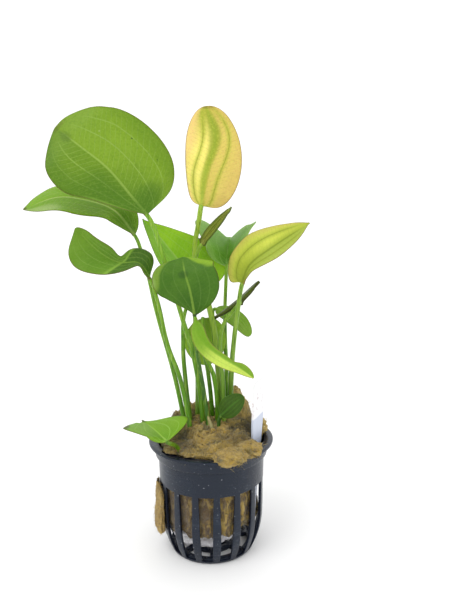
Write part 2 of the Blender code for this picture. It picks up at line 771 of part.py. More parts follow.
def heap_height(x, y):
    """Height of the heap's top at a place."""
    share = min(1.0, (x * x + y * y) / WOOL_RADIUS**2)
    height = WOOL_EDGE_HEIGHT + WOOL_HEAP * (1.0 - share)
    for (middle_x, middle_y), rise, (half_x, half_y) in WOOL_RISES:
        away = ((x - middle_x) / half_x) ** 2 + ((y - middle_y) / half_y) ** 2
        height += rise * max(0.0, 1.0 - away)
    return height + rough((x, y, 0.0), 5.0, WOOL_ROUGHNESS, 7.0)


def plug_mesh(name):
    """Plug of wool: a packed drum with a ragged underside and a heaped top."""
    steps = POT_STEPS
    under = [("under", row / WOOL_UNDER_ROWS) for row in range(1, WOOL_UNDER_ROWS + 1)]
    side = [("side", row / WOOL_SIDE_ROWS) for row in range(1, WOOL_SIDE_ROWS)]
    top = [("top", row / WOOL_TOP_ROWS) for row in range(WOOL_TOP_ROWS, 0, -1)]
    rows = under + side + top
    points = [(0.0, 0.0, WOOL_BOTTOM + WOOL_UNDER_HOLLOW)]
    for kind, share in rows:
        for step in range(steps):
            angle = 2 * math.pi * step / steps
            way_x = math.cos(angle)
            way_y = math.sin(angle)
            ragged = WOOL_BOTTOM + rough((way_x, way_y, 0.0), 0.35, WOOL_UNDER_ROUGHNESS, 4.0)
            edge = heap_height(WOOL_RADIUS * way_x, WOOL_RADIUS * way_y)
            if kind == "under":
                radius = plug_radius(ragged) * share
                height = ragged + WOOL_UNDER_HOLLOW * (1.0 - share)
            elif kind == "side":
                height = ragged + (edge - ragged) * share
                dent = abs(rough((way_x * 5, way_y * 5, height / 5), 1.0, WOOL_SIDE_ROUGHNESS, 2.0))
                radius = plug_radius(height) - dent
            else:
                radius = plug_radius(edge) * share
                height = heap_height(radius * way_x, radius * way_y)
            points.append((radius * way_x, radius * way_y, height))
    points.append((0.0, 0.0, heap_height(0.0, 0.0)))
    faces = []
    last = 1 + (len(rows) - 1) * steps
    for step in range(steps):
        after = (step + 1) % steps
        faces.append((0, 1 + after, 1 + step))
        faces.append((last + step, last + after, len(points) - 1))
        for row in range(len(rows) - 1):
            low = 1 + row * steps
            high = low + steps
            faces.append((low + step, low + after, high + after, high + step))
    return mesh_from(name, points, faces)


def pot_keep_out(cutters):
    """Room that the lumps leave for the pot's wall and rim."""
    inside = COLLAR_RADIUS - WALL_THICKNESS - GAP
    outside = RIM_RADIUS + GAP
    low = COLLAR_BOTTOM - 2.0
    high = RIM_TOP + GAP
    route = [(inside, low), (outside, low), (outside, high), (inside, high)]
    ring = add_cutter("keep_out", profile_mesh("keep_out", route, closed=True), cutters)
    revolve(ring, POT_STEPS)
    bake(ring)
    turned = bmesh.new()
    turned.from_mesh(ring.data)
    bmesh.ops.recalc_face_normals(turned, faces=turned.faces)
    turned.to_mesh(ring.data)
    turned.free()
    return ring


def build_wool(collection, cutters, look):
    """Heap of wool in the pot, with a pocket for each stem, for the sheath and for the tag."""
    wool = add_object("wool", plug_mesh("wool"), collection, look)
    keep_out = pot_keep_out(cutters)
    for index, (middle, half_sizes) in enumerate(WOOL_LUMPS):
        lump = add_cutter(f"lump_{index}", lump_mesh("lump", middle, half_sizes, index * 3.7), cutters)
        cut(lump, keep_out)
        bake(lump)
        join(wool, lump)
    bake(wool)
    for name, leaf in LEAVES.items():
        cut(wool, stem_pocket(name + "_pocket", leaf, cutters))
    cut(wool, add_cutter("tag_pocket", tag_mesh("tag_pocket", GAP, TAG_OUTER_ROOM), cutters))
    cut(wool, as_cutter(build_blade("sheath_room", SHEATH, cutters, None, BLADE_THICKNESS + 2 * GAP, GAP)))
    bake(wool)
    return wool


def main():
    """Builds the potted plant."""
    clear_scene()
    plant = new_collection(COLLECTION)
    cutters = new_collection("cutters")
    build_pot(plant, cutters, material("pot", (0.025, 0.027, 0.032), 0.45))
    build_wool(plant, cutters, material("wool", (0.42, 0.27, 0.07), 1.0))
    add_object("wool_flap", flap_mesh("wool_flap"), plant, material("wool_flap", (0.40, 0.25, 0.07), 1.0))
    fleece = lump_mesh("fleece", FLEECE_MIDDLE, FLEECE_HALF_SIZES, 5.0)
    add_object("fleece", fleece, plant, material("fleece", (0.62, 0.60, 0.56), 1.0))
    add_object("plant_tag", tag_mesh("plant_tag"), plant, material("plant_tag", (0.85, 0.86, 0.88), 0.4))
    build_blade("old_sheath", SHEATH, plant, material("old_sheath", SHEATH.colour, 0.8))
    for name, leaf in LEAVES.items():
        look = material(name + "_blade", leaf.colour, 0.45)
        build_blade(name + "_blade", leaf, plant, look)
        build_stem(name + "_stem", leaf, plant, material(name + "_stem", (0.18, 0.36, 0.05), 0.5))


main()
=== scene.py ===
"""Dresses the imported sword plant: leaves, net pot, mineral wool, fleece and tag, in a plain studio."""

import logging
import math
from dataclasses import dataclass, field
from enum import Enum
from typing import Callable, Sequence, Union

import bmesh
import bpy
from mathutils import Matrix, Vector, noise


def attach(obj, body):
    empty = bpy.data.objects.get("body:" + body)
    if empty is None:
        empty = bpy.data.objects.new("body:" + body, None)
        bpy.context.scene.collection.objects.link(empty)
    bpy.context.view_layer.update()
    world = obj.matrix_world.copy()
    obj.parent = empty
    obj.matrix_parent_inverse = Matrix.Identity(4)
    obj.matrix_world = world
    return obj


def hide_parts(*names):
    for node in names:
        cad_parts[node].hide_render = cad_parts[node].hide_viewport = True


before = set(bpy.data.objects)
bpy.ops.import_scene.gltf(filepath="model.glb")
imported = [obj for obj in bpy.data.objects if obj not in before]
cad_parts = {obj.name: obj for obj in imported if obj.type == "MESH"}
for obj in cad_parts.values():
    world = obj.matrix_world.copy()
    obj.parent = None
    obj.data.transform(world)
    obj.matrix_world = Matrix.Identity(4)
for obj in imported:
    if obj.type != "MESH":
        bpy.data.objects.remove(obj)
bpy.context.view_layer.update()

LOG = logging.getLogger("plant")
BODY = "root"

# Lengths are in millimetres and are turned into metres where a mesh is made.
MM = 0.001
Place = tuple[float, ...]
# A colour is three numbers from 0 to 255, as the studio shows it on a screen, or four linear ones.
Colour = tuple[float, ...]
Socket = bpy.types.NodeSocket
Material = bpy.types.Material
Mesh = bpy.types.Mesh
Item = bpy.types.Object
Draft = bmesh.types.BMesh
Ring = list[bmesh.types.BMVert]

# Light on an open surface in the studio, the white that its gloss adds and the darkest surface, all linear
STUDIO_LIGHT = 1.36
GLOSS_SHARE = 0.018
DARKEST = 0.004
# Curve from a screen's values to linear ones
SCREEN_TOP = 255.0
SCREEN_OFFSET = 0.055
SCREEN_POWER = 2.4


def tint(red: float, green: float, blue: float) -> Colour:
    """Turns a colour as the studio shows it on a screen into the surface's own linear colour.

    Args:
        red: Red from 0 to 255.
        green: Green from 0 to 255.
        blue: Blue from 0 to 255.

    Returns:
        Linear red, green and blue, and 1 for alpha.
    """
    parts = [part / SCREEN_TOP for part in (red, green, blue)]
    shown = [((part + SCREEN_OFFSET) / (1.0 + SCREEN_OFFSET)) ** SCREEN_POWER for part in parts]
    own = [max(DARKEST, (part - GLOSS_SHARE) / STUDIO_LIGHT) for part in shown]
    return (own[0], own[1], own[2], 1.0)


def around(radius: float, turn: float, height: float) -> Vector:
    """Point at a radius, at an angle about the pot's axis and at a height."""
    return Vector((radius * math.cos(turn), radius * math.sin(turn), height))


def rough(place: Vector, size: float, amount: float, seed: float) -> float:
    """Smooth unevenness at a place: rises of a size and an amount, in the pattern that the seed picks."""
    return noise.noise(place / size + Vector((seed, 0.0, 0.0))) * amount


class Signal:
    """A number that a node tree works out, for use in plain sums."""

    def __init__(self, wiring: "Wiring", socket: Socket) -> None:
        """Wraps an output socket of the wiring's tree."""
        self.wiring = wiring
        self.socket = socket

    def maths(self, operation: str, *others: "Value") -> "Signal":
        """Adds one Math node for this value and the others."""
        sockets = dict(enumerate((self, *others)))
        return self.wiring.signal("ShaderNodeMath", {"operation": operation}, sockets)

    def __add__(self, other: "Value") -> "Signal":
        """Sum with a value on the right."""
        return self.maths("ADD", other)

    __radd__ = __add__

    def __mul__(self, other: "Value") -> "Signal":
        """Product with a value on the right."""
        return self.maths("MULTIPLY", other)

    __rmul__ = __mul__

    def __sub__(self, other: "Value") -> "Signal":
        """This value less another."""
        return self.maths("SUBTRACT", other)

    def __rsub__(self, other: "Value") -> "Signal":
        """Another value less this one."""
        return (self * -1.0) + other

    def __truediv__(self, other: "Value") -> "Signal":
        """This value over another."""
        return self.maths("DIVIDE", other)

    def __pow__(self, other: "Value") -> "Signal":
        """This value to a power."""
        return self.maths("POWER", other)

    def size(self) -> "Signal":
        """The value without its sign."""
        return self.maths("ABSOLUTE")

    def fraction(self) -> "Signal":
        """The part after the decimal point."""
        return self.maths("FRACT")

    def least(self, other: "Value") -> "Signal":
        """The smaller of two values."""
        return self.maths("MINIMUM", other)

    def most(self, other: "Value") -> "Signal":
        """The larger of two values."""
        return self.maths("MAXIMUM", other)

    def step(self, low: "Value", high: "Value") -> "Signal":
        """Eases from 0 to 1.

        Args:
            low: Value that gives 0.
            high: Value that gives 1, which may be the smaller of the two.

        Returns:
            The eased share.
        """
        settings = {"interpolation_type": "SMOOTHSTEP"}
        sockets = {"Value": self, "From Min": low, "From Max": high}
        return self.wiring.signal("ShaderNodeMapRange", settings, sockets)


Value = Union[Signal, float]
Shade = Union[Colour, Socket]
Layer = tuple[Value, Colour | None]


class Wiring:
    """Adds nodes to one tree."""

    def __init__(self, tree: bpy.types.NodeTree) -> None:
        """Starts on an empty tree."""
        self.tree = tree
        self.tree.nodes.clear()

    def node(self, kind: str, settings: dict | None = None, sockets: dict | None = None) -> bpy.types.Node:
        """Adds a node.

        Args:
            kind: The node's type.
            settings: Its own settings, which are set first.
            sockets: Values or links of its inputs, by name or number.

        Returns:
            The new node.
        """
        made = self.tree.nodes.new(kind)
        for key, value in (settings or {}).items():
            setattr(made, key, value)
        for key, value in (sockets or {}).items():
            if isinstance(value, Signal):
                self.tree.links.new(value.socket, made.inputs[key])
            elif isinstance(value, Socket):
                self.tree.links.new(value, made.inputs[key])
            else:
                made.inputs[key].default_value = value
        return made

    def signal(
        self, kind: str, settings: dict | None = None, sockets: dict | None = None, out: int = 0
    ) -> Signal:
        """Adds a node and takes one of its outputs, by number, as a signal."""
        return Signal(self, self.node(kind, settings, sockets).outputs[out])


class Finish(Wiring):
    """One material, with its pattern on the piece's own coordinates."""

    def __init__(self, name: str) -> None:
        """Starts a material.

        Args:
            name: Name of the material.
        """
        self.material = bpy.data.materials.new(name)
        self.material.use_nodes = True
        super().__init__(self.material.node_tree)
        self.place = self.node("ShaderNodeTexCoord").outputs["Object"]

    def mix(self, share: Value, first: Shade, second: Shade) -> Socket:
        """Mixes two colours.

        Args:
            share: 0 for the first colour, 1 for the second.
            first: Colour or colour socket.
            second: Colour or colour socket.

        Returns:
            Socket of the mixed colour.
        """
        settings = {"data_type": "RGBA", "clamp_factor": True}
        sockets = {0: share}
        for number, shade in ((6, first), (7, second)):
            on_screen = isinstance(shade, tuple) and len(shade) == 3
            sockets[number] = tint(*shade) if on_screen else shade
        return self.node("ShaderNodeMix", settings, sockets).outputs[2]

    def layered(self, colour: Shade, *layers: Layer) -> Socket:
        """Lays further colours over a first one.

        Args:
            colour: The first colour or colour socket.
            layers: Share and colour of each layer, from the lowest up. One without a colour is left out.

        Returns:
            Socket of the last mixed colour.
        """
        for share, shade in layers:
            if shade is not None:
                colour = self.mix(share, colour, shade)
        return colour

    def axis(self, number: int) -> Signal:
        """The piece's own x, y or z, in millimetres."""
        return self.signal("ShaderNodeSeparateXYZ", None, {0: self.place}, number) * (1.0 / MM)

    def stored(self, name: str) -> Signal:
        """Number that each point of the mesh stores under a name."""
        return self.signal("ShaderNodeAttribute", {"attribute_name": name}, None, 2)

    def stretched(self, scale: Place) -> Socket:
        """Coordinates stretched by a scale along each axis."""
        return self.node("ShaderNodeMapping", None, {"Vector": self.place, "Scale": scale}).outputs[0]

    def mottle(
        self, size: float, detail: float = 3.0, distortion: float = 0.0, vector: Socket | None = None
    ) -> Signal:
        """Soft noise.

        Args:
            size: Width of a patch in millimetres.
            detail: Number of finer layers.
            distortion: How far the patches are twisted.
            vector: Coordinates to read, the piece's own when left out.

        Returns:
            The noise, around 0.5.
        """
        sockets = {
            "Vector": vector or self.place,
            "Scale": 1.0 / (size * MM),
            "Detail": detail,
            "Distortion": distortion,
        }
        return self.signal("ShaderNodeTexNoise", None, sockets)

    def bump(self, height: Value, depth: float) -> Socket:
        """Normal of a surface raised by the height, depth millimetres for a height of 1."""
        sockets = {"Height": height, "Distance": depth * MM, "Strength": 1.0}
        return self.node("ShaderNodeBump", None, sockets).outputs[0]

    def finish(
        self, colour: Shade, roughness: Value, normal: Socket | None, gloss: float, more: dict | None = None
    ) -> Material:
        """Ends the tree in a Principled shader.

        Args:
            colour: Its colour.
            roughness: Its roughness.
            normal: Its normal, if it has a relief.
            gloss: Specular level.
            more: Values of the shader's other inputs.

        Returns:
            The finished material.
        """
        sockets = {"Base Color": colour, "Roughness": roughness, "Specular IOR Level": gloss}
        if normal:
            sockets["Normal"] = normal
        shader = self.node("ShaderNodeBsdfPrincipled", None, sockets | (more or {}))
        self.node("ShaderNodeOutputMaterial", None, {"Surface": shader.outputs[0]})
        return self.material


def fleshy(weight: float, scale: float) -> dict[str, Place | float]:
    """Inputs that let a share of the light spread some millimetres under a surface."""
    spread = {"Subsurface Radius": (0.5, 1.0, 0.2), "Subsurface Scale": scale * MM}
    return {"Subsurface Weight": weight} | spread


@dataclass(frozen=True)
class Mark:
    """A small patch of another colour on a blade, placed by its share of the half width and of the length.

    firm is 0 for a patch that fades from its middle and near 1 for one with a clear edge.
    """

    across: float
    share: float
    half_across: float
    half_share: float
    colour: Colour
    strength: float = 1.0
    firm: float = 0.0

    # Where a patch has faded away, as the sum of its two shares squared
    REACH = 1.6


@dataclass(frozen=True)
class Crease:
    """A fold across a blade: a painted highlight along its line and painted shade below it.

    share: its share of the length, on the midrib. slope: how that share shifts with across.
    """

    share: float
    slope: float
    half_share: float
    # Colour of the painted highlight on the fold line and of the painted shade below it, then the shade's
    # strength and the highlight's strength
    colour: Colour
    shade: Colour
    painted_shade_strength: float = 0.8
    strength: float = 0.8


@dataclass(frozen=True)
class Lie:
    """Where a point lies on a blade, as signals of its material.

    across: -1 at the left edge and 1 at the right one. reach: its size. share: 0 at the base, 1 at the tip.
    width: half width in millimetres. inward: millimetres from the edge. wander: unevenness around 0.
    """

    across: Signal
    reach: Signal
    share: Signal
    width: Signal
    inward: Signal
    wander: Signal


@dataclass(frozen=True)
class LeafFinish:
    """Colours and veins of a blade.

    body and pale are its patches, dark the part next to the midrib at the base, margin and tip the parts
    that the names say, vein the long veins, halo the colour beside them and rim the thin line on its edge.
    """

    body: Colour = (120, 160, 52)
    pale: Colour = (132, 171, 58)
    dark: Colour = (92, 134, 40)
    margin: Colour = (130, 168, 56)
    tip: Colour = (126, 164, 54)
    vein: Colour = (150, 184, 84)
    midrib: Colour = (154, 190, 84)
    rim: Colour = (112, 104, 52)
    halo: Colour = (160, 185, 60)
    dark_share: float = 0.7
    margin_share: float = 0.4
    tip_share: float = 0.3
    vein_share: float = 0.55
    cross_share: float = 0.25
    halo_share: float = 0.0
    rim_share: float = 0.7
    halo_width: float = 1.6
    left_half: Colour | None = None
    right_half: Colour | None = None
    half_share: float = 0.6
    underside: Colour = (128, 168, 78)
    long_veins: tuple[float, ...] = (0.36, 0.68)
    cross_gap: float = 2.4
    sway: float = 0.0
    roughness: float = 0.5
    crease: Crease | None = None
    marks: tuple[Mark, ...] = ()

    # Sizes of the patterns, half widths of veins and height of the relief, in millimetres
    WANDER_SIZE = 14.0
    PATCH_SIZE = 9.0
    GLOSS_SIZE = 6.0
    QUILT_SIZE = 2.2
    FINE_SIZE = 0.8
    GRAIN_SIZE = 0.5
    VEIN_HALF_WIDTH = 0.4
    RIB_HALF_WIDTH = 0.8
    RELIEF = 0.12
    # Usual length of a blade, which spaces the cross veins
    USUAL_LENGTH = 52.0

    def material(self, name: str) -> Material:
        """Builds the blade's material.

        Args:
            name: Name of the material.

        Returns:
            The material.
        """
        made = Finish(name)
        lie = self.lie(made)
        veins, cross = self.veins(lie), self.cross_veins(lie)
        rib = (lie.reach * lie.width + lie.share * 0.3).step(self.RIB_HALF_WIDTH, 0.3)
        edge = (lie.inward + lie.wander * 0.06).step(0.34, 0.1)
        fine = made.mottle(self.FINE_SIZE, 3.0)
        colour = made.layered(
            made.mix(made.mottle(self.PATCH_SIZE, 4.0, 0.4).step(0.3, 0.75), self.body, self.pale),
            *self.patches(lie),
            *self.creases(lie),
            (self.soft_veins(lie) * self.halo_share, self.halo if self.halo_share else None),
            (cross * self.cross_share, self.vein),
            (veins * self.vein_share, self.vein),
            (rib * (1.0 - lie.share.step(0.75, 1.0)) * 0.8, self.midrib),
            ((1.0 - made.stored("upper")) * 0.6, self.underside),
            *self.spots(lie),
            (fine.step(0.48, 0.8) * 0.3, self.dark),
            (fine.step(0.5, 0.22) * 0.25, self.vein),
            (edge * self.rim_share, self.rim),
        )
        quilt = made.mottle(self.QUILT_SIZE, 2.0) * 0.35 + made.mottle(self.GRAIN_SIZE, 2.0) * 0.12
        gloss = made.mottle(self.GLOSS_SIZE, 3.0) * 0.16 + (self.roughness - 0.08) + veins * 0.06
        relief = made.bump(quilt - veins * 0.5 - cross * 0.35, self.RELIEF)
        return made.finish(colour, gloss, relief, 0.2, fleshy(0.06, 0.6))

    def lie(self, made: Finish) -> Lie:
        """Reads where a point lies on the blade.

        Args:
            made: The material that is being made.

        Returns:
            The place on the blade.
        """
        read = made.node("ShaderNodeAttribute", {"attribute_name": "lie"})
        parts = made.node("ShaderNodeSeparateXYZ", None, {0: read.outputs["Vector"]})
        across, share, width = (Signal(made, parts.outputs[number]) for number in range(3))
        inward = (1.0 - across.size()) * width
        wander = (made.mottle(self.WANDER_SIZE) - 0.5) * 2.0
        if self.sway:
            across = across + (share * math.tau).maths("SINE") * self.sway
        return Lie(across, across.size(), share, width, inward, wander)

    def patches(self, lie: Lie) -> list[Layer]:
        """Colours of the base, the tip, the margin and the two halves.

        Args:
            lie: Place on the blade.

        Returns:
            The layers, from the lowest up.
        """
        rib = 1.0 - (lie.reach * 1.1 + lie.wander * 0.2).step(0.15, 0.95)
        tip = (lie.share + lie.wander * 0.1).step(0.55, 1.0)
        edge = (lie.reach + lie.wander * 0.15).step(0.55, 1.0)
        return [
            ((1.0 - lie.share.step(0.02, 0.62)) * rib * self.dark_share, self.dark),
            (tip * self.tip_share, self.tip),
            (edge * self.margin_share, self.margin),
            (lie.across.step(0.05, -0.05) * self.half_share, self.left_half),
            (lie.across.step(-0.05, 0.05) * self.half_share, self.right_half),
        ]

    def creases(self, lie: Lie) -> list[Layer]:
        """Painted highlight along the crease and painted shade below it, if the blade has one.

        Args:
            lie: Place on the blade.

        Returns:
            The layers, from the lowest up.
        """
        if self.crease is None:
            return []
        line = lie.share - lie.across * self.crease.slope - self.crease.share
        # Painted highlight along the fold line, and painted shade on the side towards the base
        painted_highlight = line.size().step(self.crease.half_share, 0.0)
        return [
            (line.step(0.01, -0.02) * self.crease.painted_shade_strength, self.crease.shade),
            (painted_highlight * self.crease.strength, self.crease.colour),
        ]

    def spots(self, lie: Lie) -> list[Layer]:
        """Colours of the marks: the blade's own spots and, on some blades, painted highlights, reflection
        and shade.

        Args:
            lie: Place on the blade.

        Returns:
            The layers, from the lowest up.
        """
        layers = []
        for mark in self.marks:
            along = ((lie.share - mark.share) / mark.half_share) ** 2.0
            aside = ((lie.across - mark.across) / mark.half_across) ** 2.0
            patch = (along + aside + lie.wander * 0.5).step(mark.REACH, mark.REACH * mark.firm)
            layers.append((patch * mark.strength, mark.colour))
        return layers

    def away(self, lie: Lie, place: float) -> Signal:
        """Millimetres from the long vein at a share of the half width."""
        return (lie.reach - place * (1.0 + lie.wander * 0.05)).size() * lie.width

    def veins(self, lie: Lie) -> Signal:
        """Thin long veins that run from the base to the tip, one pair for each number in long_veins.

        Args:
            lie: Place on the blade.

        Returns:
            1 on a vein and 0 beside it.
        """
        total = lie.reach * 0.0
        for place in self.long_veins:
            line = self.away(lie, place).step(self.VEIN_HALF_WIDTH, 0.05)
            total = total.most(line * (1.0 - lie.share.step(0.74, 0.99)) * (1.25 - place * 0.5))
        return total

    def soft_veins(self, lie: Lie) -> Signal:
        """Wide soft bands on the midrib and on the long veins.

        Args:
            lie: Place on the blade.

        Returns:
            1 in the middle of a band and 0 beside it.
        """
        total = (lie.reach * lie.width).step(self.halo_width * 1.6, 0.0)
        for place in self.long_veins:
            total = total.most(self.away(lie, place).step(self.halo_width, 0.0) * 0.8)
        return total * (1.0 - lie.share.step(0.75, 1.0) * 0.6)

    def cross_veins(self, lie: Lie) -> Signal:
        """Fine veins that leave the midrib slantwise towards the tip.

        Args:
            lie: Place on the blade.

        Returns:
            1 on a vein and 0 beside it.
        """
        slant = lie.reach * (lie.width / (self.cross_gap * 1.5))
        along = lie.share * (self.USUAL_LENGTH / self.cross_gap) - slant + lie.wander * 0.7
        line = (along.fraction() - 0.5).size().step(0.12, 0.02)
        inside = lie.reach.step(0.0, 0.08) * (1.0 - lie.reach.step(0.86, 0.98))
        return line * inside * (1.0 - lie.share.step(0.8, 0.97))


class Course(Enum):
    """Courses that the edge of a half can take."""

    ROUND = "round"
    TENT = "tent"


@dataclass
class Half:
    """One half of a blade, from the midrib to its edge.

    width: widest half width. widest: where that is, 0 at the base and 1 at the tip.
    blunt: below 1 the ends are round, above 1 they are drawn out.
    fold: degrees that the half is raised at the midrib. curl: degrees added by the edge.
    lobe: length that the edge reaches back beyond the base. heel: extra width close to the base.
    notch: place, half length and depth of a notch in the edge, as shares. course: how the edge runs.
    """

    width: float
    widest: float = 0.4
    blunt: float = 0.6
    fold: float = 10.0
    curl: float = 0.0
    lobe: float = 0.0
    heel: float = 0.0
    notch: tuple[float, float, float] | None = None
    course: Course = Course.ROUND

    # Softness of a tent's peak, and place and sharpness of the heel
    PEAK = 0.04
    HEEL_PLACE = 0.15
    HEEL_POWER = 4

    def width_at(self, share: float, narrow: float) -> float:
        """Half width at a share of the blade's length.

        Args:
            share: 0 at the base and 1 at the tip.
            narrow: The least width.

        Returns:
            The width, in millimetres.
        """
        if self.course is Course.TENT:
            run = share / self.widest if share < self.widest else (1.0 - share) / (1.0 - self.widest)
            rise = max(0.0, 1.0 - math.hypot(1.0 - run, self.PEAK))
        else:
            rise = bulge(share, self.widest)
        width = self.width * rise**self.blunt
        width += self.heel * bulge(share, self.HEEL_PLACE) ** self.HEEL_POWER
        if self.notch:
            place, half_length, depth = self.notch
            width *= 1.0 - depth * math.exp(-(((share - place) / half_length) ** 2))
        return max(narrow, width)


def bulge(share: float, place: float) -> float:
    """Smooth curve over the shares 0 to 1, which is 0 at both ends and 1 at the place."""
    power = math.log(0.5) / math.log(place)
    return max(0.0, math.sin(math.pi * min(1.0, share) ** power))


def along_route(points: Sequence[Place], share: float) -> tuple[Vector, Vector]:
    """Follows a smooth route.

    Args:
        points: Points that the route runs through.
        share: Share of its length, from 0 to 1.

    Returns:
        Place and heading there.
    """
    places = [Vector(point) for point in points]
    lengths = [(b - a).length for a, b in zip(places, places[1:])]
    target = share * sum(lengths)
    index = 0
    while index < len(lengths) - 1 and target > lengths[index]:
        target -= lengths[index]
        index += 1
    local = target / lengths[index]
    here, there = places[index], places[index + 1]
    before = places[index - 1] if index else here * 2 - there
    after = places[index + 2] if index + 2 < len(places) else there * 2 - here
    start = (there - before) * (lengths[index] / ((there - here).length + (here - before).length))
    end = (after - here) * (lengths[index] / ((there - here).length + (after - there).length))
    square, cube = local * local, local * local * local
    place = (
        here * (2 * cube - 3 * square + 1)
        + start * (cube - 2 * square + local)
        + there * (3 * square - 2 * cube)
        + end * (cube - square)
    )
    heading = (
        here * (6 * square - 6 * local)
        + start * (3 * square - 4 * local + 1)
        + there * (6 * local - 6 * square)
        + end * (3 * square - 2 * local)
    )
    return place, heading.normalized()


def placed(name: str, data: bpy.types.ID) -> Item:
    """Adds an object to the scene.

    Args:
        name: Name of the object.
        data: Its mesh, curve, camera or light.

    Returns:
        The object.
    """
    item = bpy.data.objects.new(name, data)
    bpy.context.scene.collection.objects.link(item)
    return item


def smoothed(mesh: Mesh) -> None:
    """Sets smooth shading on every face."""
    mesh.polygons.foreach_set("use_smooth", [True] * len(mesh.polygons))


def add_piece(name: str, mesh: Mesh, material: Material | None = None, smooth: bool = True) -> Item:
    """Adds an object for a mesh.

    Args:
        name: Name of the piece.
        mesh: Its mesh, in place.
        material: Its material.
        smooth: True for smooth shading.

    Returns:
        The object.
    """
    if material is not None:
        mesh.materials.clear()
        mesh.materials.append(material)
    if smooth:
        smoothed(mesh)
    return placed(name, mesh)


def mesh_from(made: Draft, name: str, outward: bool = False) -> Mesh:
    """Ends the making of a mesh.

    Args:
        made: The mesh as it was made, which is freed.
        name: Name of the mesh.
        outward: True to turn the faces outward.

    Returns:
        The mesh.
    """
    if outward:
        bmesh.ops.recalc_face_normals(made, faces=made.faces)
    mesh = bpy.data.meshes.new(name)
    made.to_mesh(mesh)
    made.free()
    return mesh


def mesh_of(name: str, points: Sequence[Vector], faces: Sequence[Sequence[int]]) -> Mesh:
    """Makes a mesh whose faces look outward.

    Args:
        name: Name of the mesh.
        points: Its points, in millimetres.
        faces: Corners of each face.

    Returns:
        The mesh, in metres.
    """
    made = bmesh.new()
    corners = [made.verts.new(Vector(point) * MM) for point in points]
    for face in faces:
        made.faces.new([corners[index] for index in face])
    return mesh_from(made, name, outward=True)


def joined(name: str, meshes: Sequence[Mesh]) -> Mesh:
    """Makes one mesh of several, without welding them.

    Args:
        name: Name of the mesh.
        meshes: The meshes.

    Returns:
        The new mesh.
    """
    made = bmesh.new()
    for mesh in meshes:
        made.from_mesh(mesh)
    return mesh_from(made, name)


def ring(made: Draft, radius: float, height: float, turns: Sequence[float]) -> Ring:
    """Adds a ring of points about the pot's axis, one at each angle."""
    return [made.verts.new(around(radius, turn, height) * MM) for turn in turns]


def evaluated(item: Item) -> Mesh:
    """Makes a plain mesh of an object as its curve or its modifiers shape it.

    Args:
        item: The object.

    Returns:
        The mesh.
    """
    bpy.context.view_layer.update()
    graph = bpy.context.evaluated_depsgraph_get()
    return bpy.data.meshes.new_from_object(item.evaluated_get(graph))


def applied(item: Item) -> Mesh:
    """Applies the modifiers of an object.

    Args:
        item: The object.

    Returns:
        Its new mesh.
    """
    mesh = evaluated(item)
    item.modifiers.clear()
    item.data = mesh
    return mesh


def settle(piece: Item, node: str) -> None:
    """Fixes a piece to the plant's one body, in place of a CAD node, which is hidden.

    Args:
        piece: The piece.
        node: Name of the node.
    """
    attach(piece, BODY)
    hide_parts(node)
    LOG.info("%s stands for %s with %d faces", piece.name, node, len(piece.data.polygons))


